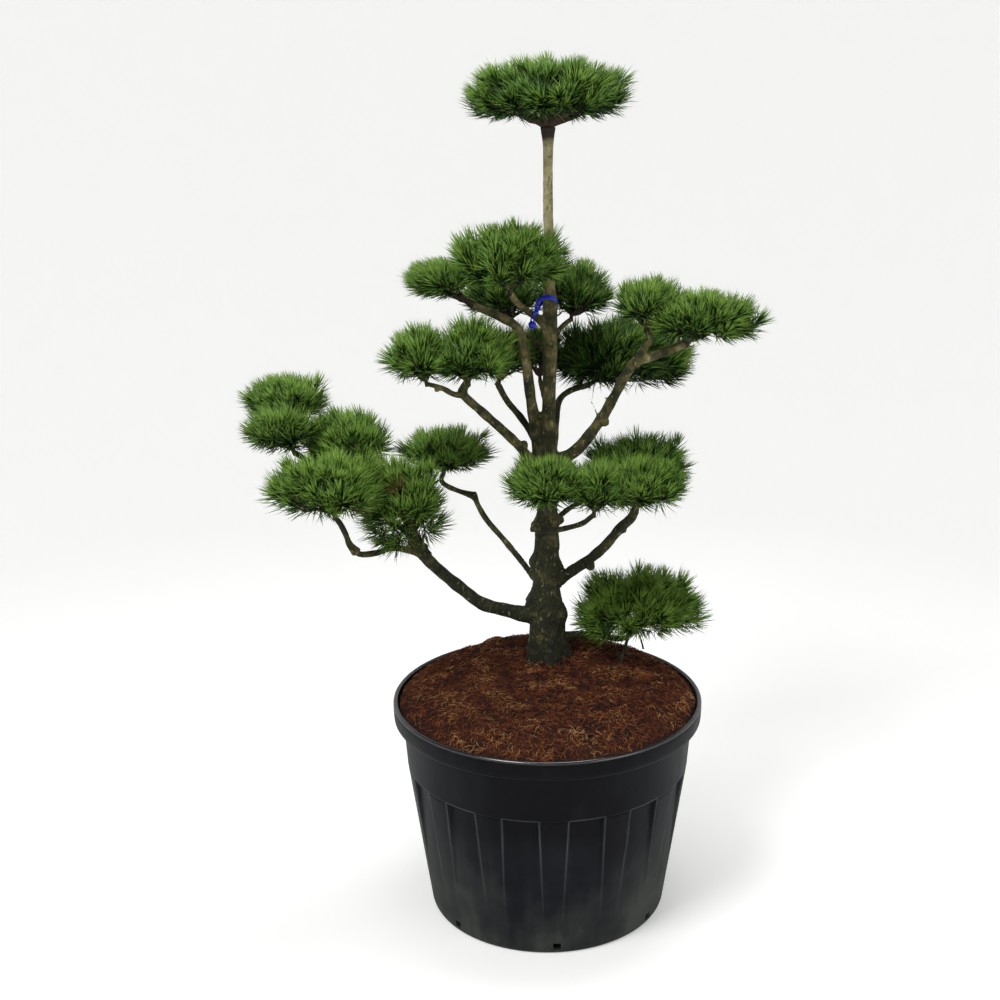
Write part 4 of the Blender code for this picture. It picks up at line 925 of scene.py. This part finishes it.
# Main twigs: their ends and bends as shares of the pad's half sizes, and the steeper one in the middle
TWIGS_LEAST = 5
TWIGS_PER_METRE = 28
TWIG_SWAY = 0.3
TWIG_OUT = (0.44, 0.74)
TWIG_RISE = (-0.38, 0.10)
TWIG_BEND = (-0.12, 0.08)
MIDDLE_TWIG = (0.1, 0.30)
MIDDLE_TWIG_BEND = (0.004, 0.003, 0)
TWIG_STATIONS = 9
TWIG_SIDES = 7
TWIG_UNEVEN = 0.0013
TWIG_SHARE = 0.50
TWIG_RADIUS = 0.0034
TWIG_TAPER = 1.4
TWIG_END = 0.0012
TWIG_LEAST = TWIG_END * 1.3
TWIG_COLOURS = ("#382A1E", "#4F3F2E", "#221810")
TWIG_COLOUR_SHARES = (0.5, 0.2, 0.3)
# Shoots, in an outer and an inner layer over the dome: how many, and how deep under the outline they end
SHOOTS_PER_AREA = 960
INNER_SHARE = 0.42
LOWEST_SHOOT = -0.42
SHOOT_SCATTER = 0.10
NEEDLE_STAND = (0.022, 0.046)
INNER_STAND = 0.022
SHORTEST_SHOOT = 0.40
INNER_SHORTER = 0.14
LUMPS = 2.6
LUMP_DEPTH = 0.24
TIP_CROWDING = 0.10
TIP_CLEAR = 0.004
# Where shoots fork off their twig, as a share of its length, and how they rise from there
TWIG_CHOICE = 0.05
FORK_SHARE = (0.50, 0.85)
FORK_BACK = 0.06
FORK_LIMITS = (0.08, 0.97)
FOCUS_DEPTH = 0.25
SHOOT_RISE = 0.12
SHOOT_WANDER = 0.24
SHOOT_BOW = 0.55
SHOOT_STATIONS = (0, 0.12, 0.4, 0.7, 1.0)
SHOOT_UNEVEN = 0.0008
SHOOT_TAPER = (1.7, 1.35, 1.0)
SHOOT_THICKNESS = (0.85, 1.2)
# Ends of more shoots, which stand out below the dome of two pads
LOW_TUFTS = {
    "left_inner_pad": (
        (-0.325, -0.060, 0.800), (-0.315, -0.078, 0.787), (-0.300, -0.050, 0.776),
        (-0.288, -0.080, 0.788), (-0.335, -0.030, 0.808), (-0.224, -0.052, 0.800),
        (-0.214, -0.022, 0.806), (-0.262, -0.072, 0.792)),
    "low_right_pad": (
        (0.084, 0.090, 0.556), (0.098, 0.070, 0.550), (0.086, 0.112, 0.546), (0.118, 0.060, 0.542)),
}
LOW_TUFT_PROUD = 1.7
LIMB_MARGIN = 0.05
# Needles, drawn 2 mm wide: fewer and broader than real ones, which are too fine to show
NEEDLES = 66
NEEDLE_LENGTH = (0.036, 0.052)
NEEDLE_VIGOUR = (0.80, 1.12)
NEEDLE_RADIUS = 0.00104
NEEDLE_THICKNESS = (0.85, 1.15)
NEEDLE_BEND = 0.42
NEEDLE_CROWDING = 0.42
NEEDLE_CLEAR = 0.0004
NEEDLED_LENGTH = 0.040
NEEDLED_SHARE = 0.9
SHOOT_LEAST = 0.012
NEEDLES_FORWARD = 1.1
PAIR_ANGLE = 0.35
# Degrees that needles lean out at a shoot's tip, more of them further back, and how they vary
LEAN = (20, 50, 16)
NEEDLE_RISE = 0.06
NEEDLE_TURN_UP = 0.22
# Outline that the shears left, 1 being the pad's own, and the needles that have outgrown it
OUTLINE_REACH = (0.98, 1.12)
STRAY_SHARE = 0.10
STRAY_REACH = 0.11
SHEAR = 1.7
SHEARED_SHORT = 0.5
# Colours from sunlit needles to painted shade deep in the pad, with dry straw last. Tones count steps
# along them
NEEDLE_COLOURS = ("#6F8F36", "#446822", "#264413", "#11210A", "#070D04", "#5E4A28")
DARKEST = 4
STRAW = 5
# Painted shade: steps darker on a pad's underside and in its inner layer; needles further back on a shoot
# are older and darker
UNDERSIDE_SHADE_TONE = 1.9
INNER_SHADE_TONE = 1.3
BACK_TONE = 0.9
SHADE_DEEPENING = 1.5
FIRST_TONE = -0.1
SHOOT_TONES = 0.40
NEEDLE_TONES = 0.80
# Shoots with dry needles: their share, more of it inside, and more again in the lowest part of a pad
DRY_SHARES = (0.012, 0.03, 0.25)
DRY_LOW = 0.3
DRY_BACK = 0.45
# Tone steps for whole pads, above 0 darker and below 0 lighter: painted shade on pads at the back and
# under others, older needles on some, painted light on the low pad under the crown
PAD_AGE_AND_SHADE = {"right_back_pad": 1.0, "right_low_back_pad": 0.6, "upper_rear_pad": 0.8, "mid_back_pad": 0.8,
         "upper_back_pad": 0.5, "top_pad": 0.40, "low_right_pad": -0.7, "left_inner_pad": -0.2}


def limb_tip(name):
    carrier = MASSES[name][0]
    row = TRUNK_LINE[-1] if carrier == "trunk" else (*BOUGHS[carrier][3][-1], BOUGHS[carrier][1])
    return np.array(row[:3]), row[3]


def hub_of(name):
    """Where a pad's stem opens into its twigs, just beyond its bough's tip."""
    tip, _ = limb_tip(name)
    share = TOP_HUB_SHARE if MASSES[name][0] == "trunk" else HUB_SHARE
    return tip + (np.array(MASSES[name][1]) - tip) * share


def reaches(name, ways):
    """How far the outline lies from the middle of a mass, each way, as an offset."""
    _, _, wide, deep, high, low = MASSES[name]
    tall = np.where(ways[:, 2] > 0, high, low)
    return ways * np.stack([np.full(len(ways), wide), np.full(len(ways), deep), tall], 1)


def depths_in(name, points):
    """How far out points lie in a mass: 0 at its middle, 1 on its outline."""
    _, middle, wide, deep, high, low = MASSES[name]
    off = points - middle
    tall = np.where(off[..., 2] > 0, high, low)
    return np.sqrt((off[..., 0] / wide) ** 2 + (off[..., 1] / deep) ** 2 + (off[..., 2] / tall) ** 2)


def in_own_space(name, points, slack):
    own = depths_in(name, points)
    keep = np.ones(own.shape, bool)
    for other in MASSES:
        if other != name:
            keep &= own < depths_in(other, points) + slack
    return keep


def above_funnel(name, points, spare):
    """Which points lie above the open funnel of twigs that rises from the hub to the pad's rim."""
    _, middle, wide, deep, _, low = MASSES[name]
    hub_z = hub_of(name)[2]
    rim_z = middle[2] - FUNNEL_RIM * low
    out = np.hypot((points[..., 0] - middle[0]) / wide, (points[..., 1] - middle[1]) / deep)
    return points[..., 2] > hub_z + (rim_z - hub_z) * np.minimum(out, 1) ** FUNNEL_CURVE - spare


def limb_runs():
    """Every stretch of the trunk and boughs, as its two ends with their radii."""
    runs = list(zip(TRUNK_LINE, TRUNK_LINE[1:]))
    for base, tip, _, points in BOUGHS.values():
        radii = np.linspace(base, tip, len(points))
        rows = [(*point, radius) for point, radius in zip(points, radii)]
        runs += list(zip(rows, rows[1:]))
    return np.array(runs)


def clear_of_limbs(points, runs, spare):
    """Which points lie outside every limb by the spare distance."""
    keep = np.ones(len(points), bool)
    low = points.min(0) - LIMB_MARGIN
    high = points.max(0) + LIMB_MARGIN
    for start, end in runs:
        if (np.maximum(start[:3], end[:3]) < low).any() or (np.minimum(start[:3], end[:3]) > high).any():
            continue
        along = end[:3] - start[:3]
        share = np.clip((points - start[:3]) @ along / (along @ along), 0, 1)
        gap = np.linalg.norm(points - start[:3] - share[:, None] * along, axis=1)
        keep &= gap > start[3] + (end[3] - start[3]) * share + spare
    return keep


def unit(rows):
    return rows / np.linalg.norm(rows, axis=-1, keepdims=True)


def main_twigs(name, chance):
    """Twigs that fan out from the hub under the pad, with one upright: curves of start, bend and end."""
    _, middle, wide, deep, high, low = MASSES[name]
    hub = hub_of(name)
    count = TWIGS_LEAST + round(TWIGS_PER_METRE * wide)
    curves = []
    start = chance.uniform(0, 2 * math.pi)
    for index in range(count):
        turn = start + (index + chance.uniform(-TWIG_SWAY, TWIG_SWAY)) * 2 * math.pi / count
        out = chance.uniform(*TWIG_OUT)
        rise = chance.uniform(*TWIG_RISE) * low
        end = np.array(middle) + (out * wide * math.cos(turn), out * deep * math.sin(turn), rise)
        bend = hub + (end - hub) * 0.5 + (0, 0, chance.uniform(*TWIG_BEND) * low)
        curves.append((hub, bend, end))
    top = np.array(middle) + (MIDDLE_TWIG[0] * wide, 0.0, MIDDLE_TWIG[1] * high)
    curves.append((hub, hub + (top - hub) * 0.5 + MIDDLE_TWIG_BEND, top))
    return curves


def along_curve(start, bend, end, t):
    """Points of quadratic curves at shares t, for arrays of curves or for one."""
    return (1 - t) ** 2 * start + 2 * (1 - t) * t * bend + t ** 2 * end


def shoot_tips(name, chance):
    """Where shoots end, dealt over the dome in two layers by the golden angle, and how proud they are."""
    _, middle, wide, deep, high, _ = MASSES[name]
    area = math.pi * (wide * deep + (wide + deep) * high / 2)
    tips, layers, prouds = [], [], []
    for layer, share in ((0, 1.0), (1, INNER_SHARE)):
        count = round(area * SHOOTS_PER_AREA * share)
        index = np.arange(count)
        z = 1 - (1 - LOWEST_SHOOT) * (index + 0.4) / count
        turn = chance.uniform(0, 2 * math.pi) + index * GOLDEN_ANGLE
        flat = np.sqrt(1 - z * z)
        ways = np.stack([flat * np.cos(turn), flat * np.sin(turn), z], 1)
        ways = unit(ways + chance.normal(0, SHOOT_SCATTER, (count, 3)))
        proud = 1 + LUMP_DEPTH * np.array([noise.noise(Vector(way * LUMPS + middle)) for way in ways])
        out = reaches(name, ways) * proud[:, None]
        far = np.linalg.norm(out, axis=1)
        stand = chance.uniform(*NEEDLE_STAND, count) + INNER_STAND * layer
        kept = np.maximum(far - stand, far * (SHORTEST_SHOOT - INNER_SHORTER * layer))
        tips.append(np.array(middle) + out * (kept / far)[:, None])
        layers.append(np.full(count, layer))
        prouds.append(proud)
    return np.concatenate(tips), np.concatenate(layers), np.concatenate(prouds)


def grow_shoots(name, runs, chance):
    """The main twigs, and the shoots as curves from a twig to their tips, with their layers and lumps."""
    twigs = main_twigs(name, chance)
    hub = hub_of(name)
    tips, layer, proud = shoot_tips(name, chance)
    keep = in_own_space(name, tips, TIP_CROWDING) & clear_of_limbs(tips, runs, TIP_CLEAR)
    keep &= above_funnel(name, tips, HANGING / 2)
    low = np.array(LOW_TUFTS.get(name, ())).reshape(-1, 3)
    tips = np.concatenate([tips[keep], low])
    layer = np.concatenate([layer[keep], np.zeros(len(low))])
    proud = np.concatenate([proud[keep], np.full(len(low), LOW_TUFT_PROUD)])
    ends = np.array([end for _, _, end in twigs])
    spread = unit(tips - hub) @ unit(ends - hub).T
    chosen = np.argmax(spread + chance.uniform(0, TWIG_CHOICE, spread.shape), axis=1)
    starts, bends, stops = (np.array([curve[part] for curve in twigs])[chosen] for part in range(3))
    run = np.linalg.norm(tips - hub, axis=1) / np.linalg.norm(stops - hub, axis=1)
    share = np.clip(run * chance.uniform(*FORK_SHARE, len(tips)) - FORK_BACK, *FORK_LIMITS)[:, None]
    feet = along_curve(starts, bends, stops, share)
    focus = hub - (0, 0, FOCUS_DEPTH * MASSES[name][5])
    ways = unit(unit(tips - focus) + (0, 0, SHOOT_RISE) + chance.normal(0, SHOOT_WANDER, tips.shape))
    length = np.linalg.norm(tips - feet, axis=1)[:, None]
    bows = tips - ways * length * SHOOT_BOW
    return twigs, (feet, bows, tips), layer, proud


def make_twigs(name, twigs, shoots, materials, chance):
    tip, radius = limb_tip(name)
    hub = hub_of(name)
    feet, bows, tips = shoots
    sunk = tip - unit(hub - tip) * STEM_SUNK
    stem = smooth_line((sunk, tip, (tip + hub) / 2, hub + (hub - tip) * STEM_BEYOND), STEM_STEP)
    parts = [tube(stem, np.linspace(radius, radius * STEM_TAPER, len(stem)), STEM_SIDES)]
    share = np.linspace(0, 1, TWIG_STATIONS)[:, None]
    thick = max(radius * TWIG_SHARE, TWIG_RADIUS) * (1 - share[:, 0]) ** TWIG_TAPER + TWIG_LEAST
    for start, bend, end in twigs:
        line = along_curve(start, bend, end, share)
        line[1:-1] += chance.normal(0, TWIG_UNEVEN, (TWIG_STATIONS - 2, 3))
        parts.append(tube(line, thick, TWIG_SIDES))
    share = np.array(SHOOT_STATIONS)[None, :, None]
    lines = along_curve(feet[:, None], bows[:, None], tips[:, None], share)
    lines[:, 1:-1] += chance.normal(0, SHOOT_UNEVEN, lines[:, 1:-1].shape)
    radii = np.array(SHOOT_TAPER) * TWIG_END * chance.uniform(*SHOOT_THICKNESS, (len(lines), 1))
    slips, slip_faces, each = strands(lines, radii)
    colour = np.repeat(chance.choice(3, len(lines), p=TWIG_COLOUR_SHARES), each)
    thicker = sum(len(faces) for _, faces in parts)
    points, faces = joined(parts + [(slips, slip_faces)])
    worn = np.concatenate([np.zeros(thicker, int), colour])
    add_piece(f"{name}_twigs", points, faces, materials, [name], worn)


def needle_lines(name, shoots, proud, chance):
    """Foot, bend and tip of needles in pairs round each shoot, and how far back on it they sit."""
    feet, bows, tips = shoots
    count = len(tips)
    back = chance.uniform(0, 1, (count, NEEDLES)) ** NEEDLES_FORWARD
    length = np.linalg.norm(tips - feet, axis=1)
    needled = np.minimum(NEEDLED_LENGTH / np.maximum(length, SHOOT_LEAST), NEEDLED_SHARE)
    share = (1 - back * needled[:, None])[..., None]
    spots = along_curve(feet[:, None], bows[:, None], tips[:, None], share)
    heads = unit((1 - share) * (bows - feet)[:, None] + share * (tips - bows)[:, None])
    side = unit(np.cross(heads, (0.31, 0.27, 0.91)))
    other = np.cross(heads, side)
    turn = np.arange(NEEDLES) // 2 * GOLDEN_ANGLE + (np.arange(NEEDLES) % 2) * PAIR_ANGLE
    turn = turn + chance.uniform(0, 2 * math.pi, (count, 1))
    lean = np.radians(LEAN[0] + LEAN[1] * back + chance.normal(0, LEAN[2], back.shape))
    spoke = side * np.cos(turn)[..., None] + other * np.sin(turn)[..., None]
    ways = unit(heads * np.cos(lean)[..., None] + spoke * np.sin(lean)[..., None] + (0, 0, NEEDLE_RISE))
    reach = chance.uniform(*NEEDLE_LENGTH, back.shape) * chance.uniform(*NEEDLE_VIGOUR, (count, 1))
    stray = chance.uniform(0, 1, back.shape) < STRAY_SHARE
    limit = chance.uniform(*OUTLINE_REACH, (count, 1)) * proud[:, None] + STRAY_REACH * stray
    ahead = unit(ways + heads * NEEDLE_TURN_UP)
    over = depths_in(name, spots + ahead * reach[..., None])
    reach = reach * np.clip(1 - (over - limit) * SHEAR, SHEARED_SHORT, 1)
    ends = spots + ahead * reach[..., None]
    bends = spots + ways * reach[..., None] * NEEDLE_BEND
    return (spots, bends, ends), back


def needle_colours(name, tips, layer, back, chance):
    """Colour of each needle: darker low down and inside as painted shade, darker far back on its shoot
    where it is older, shifted for some whole pads, with some dry ones underneath.
    """
    _, middle, _, _, high, low = MASSES[name]
    up = (tips[:, 2] - middle[2] + low) / (high + low)
    # Painted shade: darker towards the underside and in the inner layer
    tone = np.clip(1.0 - up, 0, 1)[:, None] ** SHADE_DEEPENING * UNDERSIDE_SHADE_TONE + layer[:, None] * INNER_SHADE_TONE
    tone = tone + back * BACK_TONE + FIRST_TONE + chance.normal(0, SHOOT_TONES, (len(tips), 1))
    # Whole-pad steps: painted shade, older needles, and painted light on the low right pad
    tone = tone + chance.normal(0, NEEDLE_TONES, back.shape) + PAD_AGE_AND_SHADE.get(name, 0)
    colour = np.clip(np.floor(tone), 0, DARKEST - 1).astype(int)
    dry = DRY_SHARES[0] + DRY_SHARES[1] * layer + DRY_SHARES[2] * np.clip(DRY_LOW - up, 0, DRY_LOW)
    dead = (chance.uniform(0, 1, (len(tips), 1)) < dry[:, None]) & (back > DRY_BACK)
    colour[dead] = STRAW
    return colour


def lay_needles(name, shoots, layer, proud, runs, chance):
    """The needles that find room: not in a neighbour's space, in the funnel or in a limb."""
    (spots, bends, ends), back = needle_lines(name, shoots, proud, chance)
    colour = needle_colours(name, shoots[2], layer, back, chance)
    hangs = (chance.uniform(0, 1, back.shape) < HANGING_SHARE) | (proud >= LOW_TUFT_PROUD)[:, None]
    keep = in_own_space(name, ends, NEEDLE_CROWDING) & (above_funnel(name, ends, HANGING) | hangs)
    keep = keep.ravel()
    for points in (bends, ends):
        keep &= clear_of_limbs(points.reshape(-1, 3), runs, NEEDLE_CLEAR)
    return [rows.reshape(-1, 3)[keep] for rows in (spots, bends, ends)], colour.ravel()[keep]


def needle_mesh(lines, colour, chance):
    """Six faces a needle: three from its foot to its bend, one colour darker as painted shade inside the
    tuft, and three on to its point.
    """
    spots, bends, ends = lines
    ways = unit(ends - spots)
    side = unit(np.cross(ways, (0.19, 0.88, 0.43)))
    other = np.cross(ways, side)
    turns = chance.uniform(0, 2 * math.pi, (len(spots), 1)) + 2 * math.pi * np.arange(3) / 3
    radius = NEEDLE_RADIUS * chance.uniform(*NEEDLE_THICKNESS, (len(spots), 1, 1))
    spokes = np.cos(turns)[..., None] * side[:, None] + np.sin(turns)[..., None] * other[:, None]
    ring = bends[:, None] + radius * spokes
    points = np.concatenate([spots[:, None], ring, ends[:, None]], axis=1).reshape(-1, 3)
    each = np.array([(0, 2, 1), (0, 3, 2), (0, 1, 3), (4, 1, 2), (4, 2, 3), (4, 3, 1)])
    faces = each[None] + 5 * np.arange(len(spots))[:, None, None]
    # The foot's faces one colour darker: painted shade where the needles crowd at the shoot
    foot = np.where(colour == STRAW, STRAW, np.minimum(colour + 1, DARKEST))
    worn = np.stack([foot, foot, foot, colour, colour, colour], 1)
    return points, faces.reshape(-1, 3), worn.ravel()


def needle_wax(index, colour):
    """Pine needle: a waxy skin with a soft sheen, green while it lives and straw-coloured once dry."""
    material, tree, shader = start_material(f"needle_wax_{index}", colour, 0.42)
    wire(tree, shader, {"Specular IOR Level": 0.22})
    return material


def twig_bark(index, colour):
    """Bark of young twigs: thin, matt and reddish brown, darker where old needles fell."""
    return start_material(f"twig_bark_{index}", colour, 0.85)[0]


limbs = limb_runs()
needle_materials = [needle_wax(index, colour) for index, colour in enumerate(NEEDLE_COLOURS)]
twig_materials = [twig_bark(index, colour) for index, colour in enumerate(TWIG_COLOURS)]
for order, mass in enumerate(MASSES):
    draws = np.random.default_rng(100 + order)
    twigs, shoots, layer, proud = grow_shoots(mass, limbs, draws)
    make_twigs(mass, twigs, shoots, twig_materials, draws)
    lines, colour = lay_needles(mass, shoots, layer, proud, limbs, draws)
    points, faces, worn = needle_mesh(lines, colour, draws)
    add_piece(f"{mass}_needles", points, faces, needle_materials, [mass], worn)

# Studio: a white bowl whose floor curves up into its wall, so that it is as plain and pale from every
# side. A soft light stands high in front on the left, with weaker ones on the right and overhead.
BOWL_RADIUS = 5.0
BOWL_CURVE = 2.2
BOWL_HEIGHT = 4.4
BOWL_STEPS = 128
BACKDROP_LIFT = 0.27
# Lights: (place, diameter, watts)
LIGHTS = {
    "key": ((-1.5, -1.9, 3.9), 1.5, 92),
    "fill": ((2.6, -2.2, 1.9), 2.4, 24),
    "top": ((0.3, 0.5, 4.3), 1.8, 62),
}
LIGHT_AIM = (0, 0, 0.9)
AIR_STRENGTH = 0.20
CAMERA_PLACE = (0, -2.6, 1.5876)
CAMERA_TILT = math.radians(74.13)
CAMERA_LENS = 50.10
CAMERA_SHIFT = -0.04745


def white_paint():
    """Matt white studio paint. A little glow where it is seen directly keeps the backdrop white."""
    material, tree, shader = start_material("matt_white_paint", "#F4F4F2", 0.9, ior=1.5)
    seen = node(tree, "LightPath", {}).outputs["Is Camera Ray"]
    lift = node(tree, "Math", {0: seen, 1: BACKDROP_LIFT}, operation="MULTIPLY")
    wire(tree, shader, {"Emission Strength": lift, "Emission Color": srgb("#FFFFFF")})
    return material


def make_bowl():
    flat = BOWL_RADIUS - BOWL_CURVE
    profile = [(0.02, 0.0)] + [(radius, 0.0) for radius in np.linspace(0.4, flat, 12)]
    profile += [(flat + BOWL_CURVE * math.sin(turn), BOWL_CURVE - BOWL_CURVE * math.cos(turn))
                for turn in np.linspace(0, math.pi / 2, 24)[1:]]
    profile.append((BOWL_RADIUS, BOWL_HEIGHT))
    turns = np.linspace(0, 2 * math.pi, BOWL_STEPS, endpoint=False)
    points = np.concatenate([ring_at(z, radius, turns) for radius, z in profile] + [np.zeros((1, 3))])
    faces = turned_faces(len(profile), BOWL_STEPS)[:-BOWL_STEPS]
    mesh = bpy.data.meshes.new("studio_bowl")
    mesh.from_pydata(points.tolist(), [], faces.tolist())
    mesh.materials.append(white_paint())
    bowl = bpy.data.objects.new("studio_bowl", mesh)
    bpy.context.scene.collection.objects.link(bowl)
    mesh.shade_smooth()


def hang_light(name, place, size, power):
    lamp = bpy.data.lights.new(name, "AREA")
    lamp.shape = "DISK"
    lamp.size = size
    lamp.energy = power
    hung = bpy.data.objects.new(name, lamp)
    hung.location = place
    hung.rotation_euler = (Vector(LIGHT_AIM) - Vector(place)).to_track_quat("-Z", "Y").to_euler()
    bpy.context.scene.collection.objects.link(hung)


make_bowl()
for name, (place, size, power) in LIGHTS.items():
    hang_light(name, place, size, power)

world = bpy.data.worlds.new("studio_air")
world.use_nodes = True
air = world.node_tree.nodes["Background"]
air.inputs["Color"].default_value = srgb("#F7FAFF")
air.inputs["Strength"].default_value = AIR_STRENGTH
bpy.context.scene.world = world
bpy.context.scene.view_settings.view_transform = "Standard"

camera = bpy.data.objects.new("camera", bpy.data.cameras.new("camera"))
camera.location = CAMERA_PLACE
camera.rotation_euler = (CAMERA_TILT, 0, 0)
camera.data.lens = CAMERA_LENS
camera.data.shift_x = CAMERA_SHIFT
bpy.context.scene.collection.objects.link(camera)
bpy.context.scene.camera = camera
